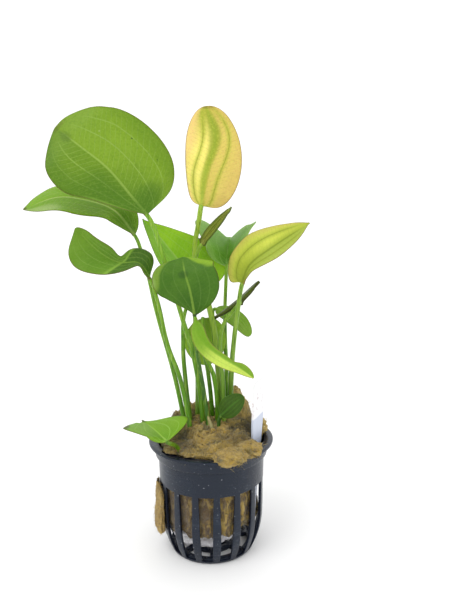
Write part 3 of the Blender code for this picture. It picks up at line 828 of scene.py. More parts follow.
@dataclass
class Leaf:
    """A blade and the stem that carries it.

    midrib: route from the base to the tip. faces: ways the upper side faces, from base to tip.
    stem: route from the foot in the wool up to the blade. finish: colours and veins.
    girth: thickness of the stem against the usual one. stem_colour: its colour, upper and lower.
    """

    midrib: list[Place]
    faces: list[Place]
    left: Half
    right: Half
    stem: list[Place]
    finish: LeafFinish = field(default_factory=LeafFinish)
    girth: float = 1.0
    stem_colour: tuple[Colour, Colour] = ((140, 190, 52), (104, 158, 42))
    point_length: float = 0.0
    thickness: float = 0.46
    ripple: float = 0.5

    ROWS = 60
    COLUMNS = 15
    # Power that gathers the columns at the midrib
    COLUMN_POWER = 1.35
    TIP_HALF_WIDTH = 0.35
    NECK_SHARE = 0.25
    FOLD_SHARE = 1.0 / 6.0
    LOBE_SHARE = 0.05
    POINT_SHARE = 0.015
    # The midrib's share of the length and how fast it thins, and the groove above it
    RIB_SHARE = 0.85
    RIB_POWER = 1.2
    GROOVE_DEPTH = 0.1
    GROOVE_HALF_WIDTH = 0.5
    RIPPLE_SIZE = 9.0
    # Steps that give the way a point faces, and the size under which they give none
    SMALL_SHARE = 0.004
    SMALL_ACROSS = 0.016
    NO_SIZE = 1e-9
    STEM_TIP_RADIUS = 0.8
    STEM_FOOT_RADIUS = 1.1
    STEM_FOOT_HEIGHT = 47.0
    # How far the stem runs into the blade, how straight it ends, and how soon it has thinned
    STEM_RUN_IN = 0.4
    STEM_STRAIGHT = 0.3
    STEM_THINNING = 1.5
    WELD_DISTANCE = 0.00001

    def facing(self, share: float) -> Vector:
        """Way that the upper side faces.

        Args:
            share: 0 at the base and 1 at the tip.

        Returns:
            The way.
        """
        place = share * (len(self.faces) - 1)
        index = min(int(place), len(self.faces) - 2)
        first = Vector(self.faces[index]).normalized()
        return first.lerp(Vector(self.faces[index + 1]).normalized(), place - index)

    def point(self, share: float, across: float) -> Vector:
        """Point of the blade's middle surface.

        Args:
            share: 0 at the base and 1 at the tip.
            across: -1 at the left edge, 0 on the midrib and 1 at the right edge.

        Returns:
            The point, in millimetres.
        """
        place, heading = along_route(self.midrib, share)
        up = self.facing(share)
        up = (up - heading * up.dot(heading)).normalized()
        side = heading.cross(up)
        half = self.right if across > 0 else self.left
        sign = 1.0 if across > 0 else -1.0
        reach = abs(across)
        width = self.half_width(share, across)
        turn = math.radians(half.fold + half.curl * reach * 0.5)
        turn *= min(1.0, share / self.FOLD_SHARE, (1.0 - share) / self.FOLD_SHARE)
        out = side * (sign * math.cos(turn)) + up * math.sin(turn)
        back = half.lobe * reach**1.5 * (1.0 - share) ** 3 * (1.0 - math.exp(-share / self.LOBE_SHARE))
        drawn = self.point_length * math.exp(-((1.0 - share) / self.POINT_SHARE))
        return place + out * (width * reach) - heading * (back - drawn)

    def half_width(self, share: float, across: float) -> float:
        """Half width on one side.

        Args:
            share: 0 at the base and 1 at the tip.
            across: Above 0 for the right half.

        Returns:
            The width, in millimetres.
        """
        half = self.right if across > 0 else self.left
        neck = max(0.0, 1.0 - share / self.NECK_SHARE)
        narrow = self.TIP_HALF_WIDTH + (self.STEM_TIP_RADIUS * self.girth - self.TIP_HALF_WIDTH) * neck
        return half.width_at(share, narrow)

    def normal(self, share: float, across: float) -> Vector:
        """Way that the upper side faces at a point.

        Args:
            share: 0 at the base and 1 at the tip.
            across: -1 at the left edge, 0 on the midrib and 1 at the right edge.

        Returns:
            The way.
        """
        low, high = max(0.0, share - self.SMALL_SHARE), min(1.0, share + self.SMALL_SHARE)
        along = self.point(high, across) - self.point(low, across)
        left, right = max(-1.0, across - self.SMALL_ACROSS), min(1.0, across + self.SMALL_ACROSS)
        aside = self.point(share, right) - self.point(share, left)
        found = aside.cross(along)
        if found.length < self.NO_SIZE:
            return self.facing(share).normalized()
        return found.normalized()

    def lamina(self, name: str) -> Mesh:
        """Builds the blade as a closed sheet with a raised midrib.

        Args:
            name: Name of the mesh.

        Returns:
            The mesh, with the attributes lie (across, share and half width) and upper.
        """
        shares = [0.5 - 0.5 * math.cos(math.pi * row / self.ROWS) for row in range(self.ROWS + 1)]
        reaches = [(column / self.COLUMNS) ** self.COLUMN_POWER for column in range(self.COLUMNS + 1)]
        acrosses = [-reach for reach in reversed(reaches[1:])] + reaches
        count = len(acrosses)
        upper: list[Vector] = []
        lower: list[Vector] = []
        lies: list[tuple[float, float, float]] = []
        for share in shares:
            rib = 1.0 - min(1.0, share / self.RIB_SHARE)
            rib = self.STEM_TIP_RADIUS * self.girth * rib**self.RIB_POWER
            open_share = min(1.0, share * 5)
            for across in acrosses:
                place = self.point(share, across)
                way = self.normal(share, across)
                width = self.half_width(share, across)
                distance = abs(across) * width
                sheet = self.thickness * (1.0 - 0.5 * abs(across)) / 2
                ridge = rib * math.exp(-((distance / max(0.3, rib)) ** 2))
                wave = rough(place, self.RIPPLE_SIZE, self.ripple, 3.0)
                wave = wave * min(1.0, share * 4) * abs(across) ** 1.5
                top = sheet + ridge * (0.75 - 0.75 * open_share)
                groove = math.exp(-((distance / self.GROOVE_HALF_WIDTH) ** 2))
                groove = self.GROOVE_DEPTH * groove * open_share
                upper.append(place + way * (wave + top - groove))
                lower.append(place + way * (wave - sheet - ridge * 0.8))
                lies.append((across, share, width))
        points = upper + lower
        base = len(upper)
        faces = []
        for row in range(len(shares) - 1):
            for column in range(count - 1):
                a = row * count + column
                faces.append((a, a + 1, a + 1 + count, a + count))
                faces.append((base + a, base + a + count, base + a + 1 + count, base + a + 1))
        rim = list(range(count))
        rim += [row * count + count - 1 for row in range(1, len(shares))]
        rim += [(len(shares) - 1) * count + column for column in range(count - 2, -1, -1)]
        rim += [row * count for row in range(len(shares) - 2, 0, -1)]
        for first, second in zip(rim, rim[1:] + rim[:1]):
            faces.append((first, base + first, base + second, second))
        mesh = mesh_of(name, points, faces)
        lie = mesh.attributes.new("lie", "FLOAT_VECTOR", "POINT")
        lie.data.foreach_set("vector", [part for each in lies + lies for part in each])
        side = mesh.attributes.new("upper", "FLOAT", "POINT")
        side.data.foreach_set("value", [1.0] * base + [0.0] * base)
        return mesh

    def petiole(self, name: str) -> Mesh:
        """Builds the stem as a round tube that ends inside the base of the midrib.

        Args:
            name: Name of the mesh.

        Returns:
            The mesh.
        """
        base, heading = along_route(self.midrib, 0.0)
        foot = self.stem[0]
        route = [Vector((foot[0], foot[1], self.STEM_FOOT_HEIGHT))]
        route += [Vector(point) for point in self.stem[1:]] + [base + heading * self.STEM_RUN_IN]
        curve = bpy.data.curves.new(name, "CURVE")
        curve.dimensions = "3D"
        curve.bevel_depth = MM
        curve.bevel_resolution = 4
        curve.resolution_u = 12
        curve.use_fill_caps = True
        spline = curve.splines.new("BEZIER")
        spline.bezier_points.add(len(route) - 1)
        thinning = self.STEM_TIP_RADIUS - self.STEM_FOOT_RADIUS
        for index, (point, place) in enumerate(zip(spline.bezier_points, route)):
            share = min(1.0, self.STEM_THINNING * index / (len(route) - 1))
            point.co = place * MM
            point.radius = (self.STEM_FOOT_RADIUS + thinning * share) * self.girth
            point.handle_left_type = "AUTO"
            point.handle_right_type = "AUTO"
        end = spline.bezier_points[-1]
        reach = (route[-1] - route[-2]).length * self.STEM_STRAIGHT
        end.handle_left_type = "FREE"
        end.handle_right_type = "FREE"
        end.handle_left = (route[-1] - heading * reach) * MM
        end.handle_right = (route[-1] + heading * reach) * MM
        guide = placed(name, curve)
        mesh = evaluated(guide)
        bpy.data.objects.remove(guide)
        welded = bmesh.new()
        welded.from_mesh(mesh)
        bmesh.ops.remove_doubles(welded, verts=welded.verts, dist=self.WELD_DISTANCE)
        bmesh.ops.recalc_face_normals(welded, faces=welded.faces)
        welded.to_mesh(mesh)
        welded.free()
        return mesh

    def build(self, name: str) -> None:
        """Builds and dresses the blade and the stem.

        Args:
            name: Name of the leaf, with which the names of its pieces and nodes start.
        """
        blade, petiole = f"{name}_lamina", f"{name}_petiole"
        settle(add_piece(blade, self.lamina(blade), self.finish.material(blade)), f"{name}_blade")
        look = StemFinish(*self.stem_colour).material(petiole)
        settle(add_piece(petiole, self.petiole(petiole), look), f"{name}_stem")


@dataclass(frozen=True)
class StemFinish:
    """Smooth fleshy stem, darker towards its foot, with faint streaks."""

    upper: Colour
    lower: Colour
    pale_streak: Colour = (186, 216, 100)
    dark_streak: Colour = (62, 104, 30)
    upper_height: float = 128.0
    lower_height: float = 62.0

    def material(self, name: str) -> Material:
        """Builds the stem's material.

        Args:
            name: Name of the material.

        Returns:
            The material.
        """
        made = Finish(name)
        streak = made.mottle(1.0, 3.0, 0.2, made.stretched((1.6, 1.6, 0.06)))
        grain = made.mottle(0.6, 2.0, 0.0, made.stretched((1.4, 1.4, 0.2)))
        height = made.axis(2) + (streak - 0.5) * 30.0
        colour = made.layered(
            made.mix(height.step(self.upper_height, self.lower_height), self.upper, self.lower),
            (streak.step(0.52, 0.7) * 0.6, self.pale_streak),
            (streak.step(0.48, 0.3) * 0.6, self.dark_streak),
        )
        relief = made.bump(streak * 0.8 + grain * 0.3, 0.15)
        return made.finish(colour, streak * 0.16 + 0.26, relief, 0.35, fleshy(0.15, 1.0))


PLANT: dict[str, Leaf] = {
    "round_leaf": Leaf(
        midrib=[
            (-24.8, -9, 148), (-29.5, -10.5, 154), (-39.6, -11, 166.3), (-51, -10, 175.5),
            (-59.3, -7, 182),
        ],
        faces=[(0.1, -1, 0.35), (0.1, -1, 0.2), (0.1, -1, 0.1)], left=Half(18.5, 0.65, 0.6, 8, -6),
        right=Half(23.6, 0.42, 0.36, 8, -10, lobe=2),
        stem=[(-2.5, -1), (-6.5, -3.5, 85), (-10.9, -6, 102.6), (-18.2, -8, 129)], girth=1.15,
        point_length=0.9,
        finish=LeafFinish(
            body=(137, 174, 52), pale=(146, 182, 58), dark=(78, 122, 30), margin=(132, 168, 48),
            tip=(128, 162, 52), vein=(156, 190, 84), midrib=(166, 198, 92), rim=(124, 104, 62),
            # The darker left half is painted shade on the lower half of the blade
            left_half=(106, 144, 40), half_share=0.6, dark_share=0.65, tip_share=0.5, vein_share=0.8,
            cross_share=0.4,
            marks=(
                # The first mark is painted shade at the lower left, near the base
                Mark(-0.75, 0.22, 0.75, 0.42, (82, 126, 32), 0.7),
                Mark(1.0, 0.35, 0.3, 0.4, (104, 144, 36), 0.45),
                Mark(-1.0, 0.75, 0.4, 0.4, (96, 136, 40), 0.6),
                Mark(0.25, 0.08, 0.5, 0.14, (86, 130, 34), 0.6),
                Mark(-0.05, 0.9, 0.16, 0.06, (84, 112, 42), 0.4),
                Mark(0.0, 1.0, 0.8, 0.025, (96, 92, 44), 0.4),
                Mark(0.45, 0.7, 0.018, 0.007, (180, 204, 124), 0.7),
                Mark(0.65, 0.5, 0.013, 0.007, (60, 90, 30), 0.8),
                Mark(0.75, 0.3, 0.01, 0.006, (60, 90, 30), 0.7),
                Mark(-0.75, 0.36, 0.013, 0.007, (60, 90, 30), 0.7),
                Mark(-0.97, 0.26, 0.08, 0.2, (142, 180, 74), 0.6),
            ),
        ),
    ),
    "arching_leaf": Leaf(
        midrib=[(-32, 6, 139.3), (-40.5, 5, 150), (-55, 3, 154.8), (-64, 1, 155), (-75.3, -2, 150.6)],
        faces=[(-0.3, -0.5, 0.8), (0, -0.5, 0.87), (0, -0.45, 0.9)], left=Half(13, 0.62, 0.7, 0, 0),
        right=Half(13, 0.5, 0.7, 6, -10, lobe=1.5),
        stem=[(-10, -1), (-15.3, 0, 76.2), (-22.7, 2.5, 104.8), (-28.7, 5, 130.5)], point_length=0.8,
        finish=LeafFinish(
            body=(134, 182, 40), pale=(144, 192, 46), dark=(94, 140, 30), margin=(150, 194, 40),
            tip=(118, 164, 40), vein=(166, 200, 92), midrib=(200, 226, 124), half_share=0.5,
            left_half=(120, 164, 34), vein_share=0.4,
            marks=(
                # The whitish first mark is a painted reflection on the lower half near the tip
                Mark(-0.75, 0.86, 0.35, 0.16, (184, 208, 132), 0.6),
                Mark(0.0, 0.08, 1.4, 0.16, (80, 124, 34), 0.6),
                Mark(0.0, 1.0, 1.0, 0.02, (86, 90, 44), 0.8),
            ),
        ),
    ),
    "curled_leaf": Leaf(
        midrib=[
            (-24.8, -4, 121.3), (-29, -6, 128), (-36.9, -8, 128.6), (-44, -9.5, 133),
            (-53.1, -9, 142.2),
        ],
        faces=[(0.1, -0.3, 0.95), (0, -0.35, 0.95), (0, -0.6, 0.7), (0.1, -1, 0.3), (0.1, -1, 0.2)],
        left=Half(11.3, 0.72, 0.7, heel=2.5),
        right=Half(4.5, 0.5, 0.35, 30, 0, heel=5, notch=(0.43, 0.12, 0.5)),
        stem=[(-7.8, -5), (-12.9, -5, 77.7), (-17.9, -5, 93), (-22.2, -4.5, 113.5)], point_length=0.8,
        finish=LeafFinish(
            body=(106, 150, 48), pale=(116, 160, 56), dark=(96, 142, 50), margin=(112, 152, 46),
            tip=(124, 162, 48), vein=(142, 178, 82), midrib=(140, 178, 72), rim=(126, 98, 68),
            tip_share=0.5, cross_share=0.12, vein_share=0.4,
            # The crease paints a highlight along the fold and shade below it
            crease=Crease(0.4, -0.13, 0.03, (152, 194, 76), (74, 112, 38)),
            marks=(Mark(-0.9, 0.12, 0.3, 0.12, (140, 182, 62), 0.6),),
        ),
    ),
    "yellow_leaf": Leaf(
        midrib=[(-3, 4, 151.7), (0.5, 2, 164), (1.5, 2, 175), (0, 5, 192.7)],
        faces=[(0.1, -1, 0.2), (0.1, -1, 0.0), (0, -1, 0.15)],
        left=Half(11, 0.52, 0.45, 10, -5, lobe=2), right=Half(13, 0.42, 0.42, 10, -5, lobe=1.2),
        stem=[(4.5, 2.5), (3.2, 2.5, 84), (0, 4, 107), (-5, 7.8, 122), (-6.3, 8, 130.5), (-4, 5, 146)],
        finish=LeafFinish(
            body=(0.86, 0.74, 0.17, 1.0), pale=(0.90, 0.80, 0.21, 1.0), dark=(0.70, 0.70, 0.10, 1.0),
            margin=(0.80, 0.56, 0.20, 1.0), tip=(184, 188, 70), vein=(156, 160, 60),
            midrib=(196, 210, 92), rim=(150, 110, 78), halo=(180, 200, 60), halo_share=0.75,
            halo_width=1.7, right_half=(226, 198, 102), half_share=0.7, dark_share=0.4,
            margin_share=0.8, tip_share=0.95, vein_share=0.5, cross_share=0.12,
            underside=(224, 210, 114), long_veins=(0.5,), sway=0.2,
            marks=(
                Mark(-0.02, 0.7, 0.24, 0.3, (150, 172, 50), 0.7),
                Mark(0.0, 0.3, 0.16, 0.3, (176, 196, 64), 0.6),
                Mark(0.0, 1.0, 1.6, 0.03, (140, 112, 66), 0.6),
            ),
        ),
        girth=1.35, stem_colour=((176, 210, 72), (124, 164, 60)),
    ),
    "golden_leaf": Leaf(
        midrib=[(14, -3.5, 118.9), (16.9, -7, 127), (25.2, -9, 133.8), (41.2, -6, 143.7)],
        faces=[(-0.4, -0.8, 0.5), (-0.3, -0.9, 0.4), (-0.2, -0.9, 0.5)],
        left=Half(12, 0.36, 0.75, 0, -15, lobe=9), right=Half(5.2, 0.55, 0.8, 10, -10),
        stem=[(8.2, 0.5), (9.1, -1, 78), (10.2, -2.5, 92.7), (12.1, -3.5, 108.1)],
        finish=LeafFinish(
            body=(212, 226, 84), pale=(224, 232, 92), dark=(160, 180, 56), margin=(216, 200, 108),
            tip=(170, 182, 72), vein=(142, 152, 54), midrib=(138, 156, 52), rim=(136, 98, 66),
            halo=(168, 186, 66), halo_share=0.85, halo_width=1.9, dark_share=0.75, margin_share=0.65,
            vein_share=0.5, cross_share=0.12, right_half=(172, 196, 88), half_share=0.7,
            underside=(190, 200, 92), long_veins=(0.5,),
        ),
        point_length=0.8, girth=1.2, stem_colour=((156, 196, 72), (120, 162, 56)),
    ),
    "middle_leaf": Leaf(
        midrib=[
            (-2, 13, 113.2), (-8.7, 14, 121), (-15.3, 15, 129.4), (-22.8, 16, 138.8), (-29.6, 17, 146),
        ],
        faces=[(-0.3, -1, 0.3), (-0.2, -1, 0.3), (-0.2, -1, 0.4)], left=Half(8, 0.4, 0.8, 15, -10),
        right=Half(16.5, 0.27, 1.15, 5, -10, lobe=5, heel=1),
        stem=[(-8.2, 1.5), (-11.1, 1.5, 76.6), (-11.8, 2, 92), (-10.8, 6.5, 105.5), (-7.5, 11.3, 111)],
        finish=LeafFinish(
            body=(158, 218, 48), pale=(186, 240, 58), dark=(118, 186, 54), margin=(182, 232, 58),
            tip=(140, 200, 60), vein=(182, 230, 100), midrib=(188, 232, 112), margin_share=0.6,
            vein_share=0.4, left_half=(150, 206, 96), half_share=0.55,
        ),
    ),
    "trough_leaf": Leaf(
        midrib=[(7.7, 9.5, 125.2), (8.1, 14, 129.7), (8.8, 22, 133.3), (10.2, 34, 136.9)],
        faces=[(0, -0.4, 0.9), (0, -0.3, 0.95)], left=Half(19.5, 0.45, 0.95, 42, 0),
        right=Half(15.5, 0.44, 1.05, 47, 0, notch=(0.46, 0.06, -0.2)),
        stem=[(7, 6), (7.2, 7.5, 78.5), (6.9, 11, 91.5), (6.9, 11, 106), (7.4, 10.3, 118)],
        finish=LeafFinish(
            body=(112, 168, 54), pale=(128, 184, 64), dark=(78, 130, 40), margin=(160, 202, 104),
            # The pale rim is a painted highlight along the edges of the raised wings
            tip=(140, 190, 84), vein=(150, 196, 96), midrib=(130, 178, 76), rim=(196, 220, 160),
            margin_share=0.6, underside=(116, 170, 58),
        ),
    ),
    "spoon_leaf": Leaf(
        midrib=[(-6.1, -14, 107.3), (-7.6, -18, 118), (-9.5, -17.5, 125), (-10.8, -12, 131)],
        faces=[(0, -0.9, 0.4), (0, -1, 0.1), (0, -0.9, 0.5)], left=Half(13.5, 0.64, 0.8, 5, 10),
        right=Half(12.5, 0.55, 0.6, 5, 10, notch=(0.76, 0.05, -0.14)),
        stem=[(0.2, -5.5), (-2.9, -6.5, 72.6), (-5.5, -10, 92.6)],
        finish=LeafFinish(
            body=(78, 121, 43), pale=(90, 132, 48), dark=(66, 108, 40), margin=(84, 128, 45),
            tip=(94, 138, 50), vein=(112, 150, 70), midrib=(140, 176, 72), rim=(104, 92, 50),
            cross_share=0.1, vein_share=0.36,
            marks=(
                # The first three marks are painted highlights where the blade bends away beyond its fold
                Mark(1.0, 0.88, 0.44, 0.18, (148, 188, 56), 1.0, 0.4),
                Mark(-1.06, 0.75, 0.28, 0.18, (134, 168, 66), 0.95, 0.5),
                Mark(-1.04, 0.66, 0.14, 0.06, (160, 190, 108), 0.7),
                Mark(-0.05, 0.68, 0.17, 0.06, (46, 78, 30), 0.5),
                Mark(0.0, 0.01, 1.2, 0.035, (46, 56, 28), 0.85),
            ),
        ),
        stem_colour=((84, 132, 46), (72, 116, 40)),
    ),
    "hanging_leaf": Leaf(
        midrib=[
            (-5.7, -17, 106.5), (-4.9, -20, 102), (-1.9, -22, 97.3), (4.9, -23, 91.9),
            (11.8, -23, 87.5), (17.2, -23, 83.2),
        ],
        faces=[(-0.2, -0.9, 0.5), (-0.3, -0.8, 0.5), (-0.2, -0.7, 0.7)],
        left=Half(2.3, 0.84, 0.5, 10, 0, heel=3, notch=(0.7, 0.07, 0.45)),
        right=Half(4.1, 0.45, 0.75, 0, 0),
        stem=[(3, -1), (1.6, -5, 78.3), (-1.2, -8.5, 86.9), (-4.3, -14, 97.1)],
        finish=LeafFinish(
            body=(124, 172, 46), pale=(138, 184, 54), dark=(116, 164, 42), margin=(196, 226, 84),
            tip=(160, 196, 84), midrib=(150, 194, 70), rim=(150, 130, 80), dark_share=1.0,
            right_half=(224, 248, 110), half_share=0.9, margin_share=0.3, vein_share=0.2,
            cross_share=0.1, long_veins=(0.5,),
            marks=(Mark(0.0, 0.08, 2.4, 0.4, (126, 174, 48), 0.95),),
        ),
    ),
    "shaded_leaf": Leaf(
        midrib=[(-3, 5, 102.5), (-2.2, 7.5, 96), (-2.3, 8.5, 89), (-2.4, 8, 80.5)],
        faces=[(0, -0.8, 0.6), (0, -1, 0.2), (0, -1, 0)], left=Half(9.5, 0.5, 0.5, 0, 0, lobe=1),
        right=Half(9.5, 0.5, 0.5, 0, 0, lobe=1), stem=[(1.5, 3.5), (-1, 3, 78), (-3.2, 3, 92)],
        finish=LeafFinish(
            body=(158, 204, 66), pale=(176, 220, 78), dark=(128, 176, 54), margin=(162, 208, 70),
            tip=(162, 208, 70),
        ),
    ),
    "lower_young_leaf": Leaf(
        midrib=[(13.3, 0.5, 110.2), (13.5, 4.5, 110.4), (13.6, 8.5, 110.3)],
        faces=[(-0.63, 0, 0.77), (-0.63, 0, 0.77)], left=Half(15, 0.4, 0.7, 5, 0),
        right=Half(12, 0.4, 0.7, 7, 0),
        stem=[(5.5, -4.5), (5.4, -3.5, 76), (4.2, -3.5, 89), (5.6, -2.5, 100.5), (9.6, -0.3, 106)],
        finish=LeafFinish(
            body=(96, 110, 44), pale=(116, 132, 52), dark=(66, 66, 34), margin=(84, 94, 40),
            tip=(90, 100, 44), vein=(120, 130, 60), midrib=(96, 106, 46), rim=(76, 80, 38),
            right_half=(104, 122, 50), half_share=0.8, underside=(70, 72, 38),
        ),
        thickness=2.0, stem_colour=((150, 192, 64), (120, 164, 56)),
    ),
    "upper_young_leaf": Leaf(
        midrib=[(-2.5, 2, 135.8), (3.6, 1, 143), (9.7, -1, 150.9)],
        faces=[(-0.3, -0.9, 0.2), (-0.3, -0.9, 0.2)], left=Half(3.2, 0.4, 0.8, 50, 10, lobe=3),
        right=Half(3.2, 0.4, 0.8, 50, 10, lobe=3),
        stem=[
            (-6.5, 5), (-5.9, 7.5, 73.6), (-6.3, 11.5, 91), (-6.7, 10.5, 100), (-6.9, 6.5, 114),
            (-4.5, 3, 132.8),
        ],
        finish=LeafFinish(
            body=(132, 156, 54), pale=(158, 178, 68), dark=(108, 130, 46), margin=(112, 132, 48),
            tip=(118, 128, 56), vein=(176, 178, 92), midrib=(184, 186, 96), rim=(88, 96, 46),
            vein_share=0.8, underside=(116, 136, 54),
        ),
        thickness=1.3, stem_colour=((150, 190, 66), (120, 162, 56)),
    ),
    "side_leaf": Leaf(
        midrib=[(2.9, 17, 104.6), (8.4, 16, 102.4), (13.8, 14, 98.5), (18.2, 12, 92.7)],
        faces=[(0.2, -0.9, 0.5), (0.2, -1, 0.2)], left=Half(4.2, 0.5, 0.4, 0, 0),
        right=Half(3.7, 0.42, 0.4, 0, 0), stem=[(4, 6), (4.1, 11, 77.3), (3.8, 14, 88.3)],
        finish=LeafFinish(
            body=(136, 184, 60), pale=(152, 196, 78), dark=(148, 190, 84), margin=(144, 186, 62),
            tip=(138, 180, 54),
        ),
    ),
    "crown_leaf": Leaf(
        midrib=[(4.1, -9, 62.6), (8.5, -11.5, 67.9), (13.9, -10.5, 71.8)],
        faces=[(-0.1, -1, 0.3), (-0.1, -1, 0.3)], left=Half(4.5, 0.5, 0.5, 5, 0),
        right=Half(4.5, 0.5, 0.5, 5, 0), stem=[(3.5, -7.5), (3.2, -8.2, 57)],
        finish=LeafFinish(
            body=(64, 93, 32), pale=(80, 112, 40), dark=(54, 78, 30), margin=(78, 110, 38),
            tip=(72, 104, 36), vein=(86, 122, 50), midrib=(86, 130, 50), rim=(84, 128, 50),
        ),
        stem_colour=((70, 112, 38), (60, 98, 34)),
    ),
    "rim_leaf": Leaf(
        midrib=[(-17.9, -22, 56.8), (-23.3, -15, 59), (-28.6, -8, 60.4)],
        faces=[(0, -0.2, 0.98), (0, -0.2, 0.98)], left=Half(18.5, 0.4, 0.85, 29, 0, course=Course.TENT),
        right=Half(15.5, 0.45, 1.2, 4, 0), stem=[(-12.5, -16), (-14.2, -18, 53)],
        finish=LeafFinish(
            body=(134, 180, 52), pale=(146, 190, 60), dark=(112, 166, 50), margin=(134, 188, 58),
            tip=(120, 172, 52), vein=(166, 210, 92), midrib=(170, 212, 90), vein_share=0.7,
            marks=(
                Mark(-1.0, 0.48, 0.14, 0.12, (74, 66, 40), 0.8),
                Mark(0.0, 1.0, 0.8, 0.05, (64, 66, 34), 0.8),
            ),
        ),
        point_length=1.6, stem_colour=((112, 150, 44), (112, 150, 44)),
    ),
}


class PotZone(Enum):
    """Parts of the pot's wall that are built in their own way."""

    SOLID = "solid"
    SLOTTED = "slotted"


@dataclass(frozen=True)
class PotFinish:
    """Charcoal moulded plastic with fine scratches, dust and pale specks."""

    colour: Colour = (36, 44, 55)
    worn: Colour = (44, 52, 66)
    dust: Colour = (112, 118, 132)
    speck: Colour = (190, 194, 200)
    gloss: Colour = (0.8, 0.92, 1.0, 1.0)

    def material(self, name: str) -> Material:
        """Builds the pot's material.

        Args:
            name: Name of the material.

        Returns:
            The material.
        """
        made = Finish(name)
        cloud = made.mottle(14.0, 4.0, 0.5)
        scratch = made.mottle(5.0, 3.0, 1.2, made.stretched((0.35, 0.35, 3.0)))
        line = (scratch - 0.5).size().step(0.012, 0.002)
        speck = made.mottle(0.9, 1.0).step(0.735, 0.78)
        grain = made.mottle(0.35, 2.0)
        colour = made.layered(
            made.mix(cloud.step(0.35, 0.7) * 0.4, self.colour, self.worn),
            (line * cloud.step(0.5, 0.6) * 0.5, self.dust),
            (speck * 0.8, self.speck),
        )
        relief = made.bump(grain * 0.3 - line * 0.5 + cloud * 0.6, 0.05)
        rough_share = cloud * 0.2 + 0.18 + speck * 0.3
        return made.finish(colour, rough_share, relief, 0.42, {"Specular Tint": self.gloss})


def column_turn(column: int, parts: int, half: float, first: float, steps: int) -> float:
    """Angle of a column of points round a ring of solid parts with gaps between them.

    Args:
        column: Number of the column.
        parts: Number of solid parts.
        half: Half angle of a solid part.
        first: Angle of the first part's middle.
        steps: Columns on each part and on each gap.

    Returns:
        The angle.
    """
    pitch = 2 * math.pi / parts
    part, place = divmod(column, 2 * steps)
    start = first + pitch * part - half
    if place < steps:
        return start + 2 * half * place / steps
    return start + 2 * half + (pitch - 2 * half) * (place - steps) / steps


def strip(made: Draft, upper: Ring, lower: Ring, keep: Sequence[bool]) -> None:
    """Adds the faces between two rings.

    Args:
        made: The mesh that is being made.
        upper: One ring.
        lower: The other one.
        keep: True for each column that has a face.
    """
    for column, kept in enumerate(keep):
        if kept:
            after = (column + 1) % len(keep)
            made.faces.new((upper[column], upper[after], lower[after], lower[column]))


def sides(made: Draft, rings: Sequence[Ring], keep: Sequence[bool]) -> None:
    """Adds a face wherever solid columns meet open ones.

    Args:
        made: The mesh that is being made.
        rings: The four rings that hold the face's corners.
        keep: True for each solid column.
    """
    for column, kept in enumerate(keep):
        if kept != keep[column - 1]:
            made.faces.new([corners[column] for corners in rings])


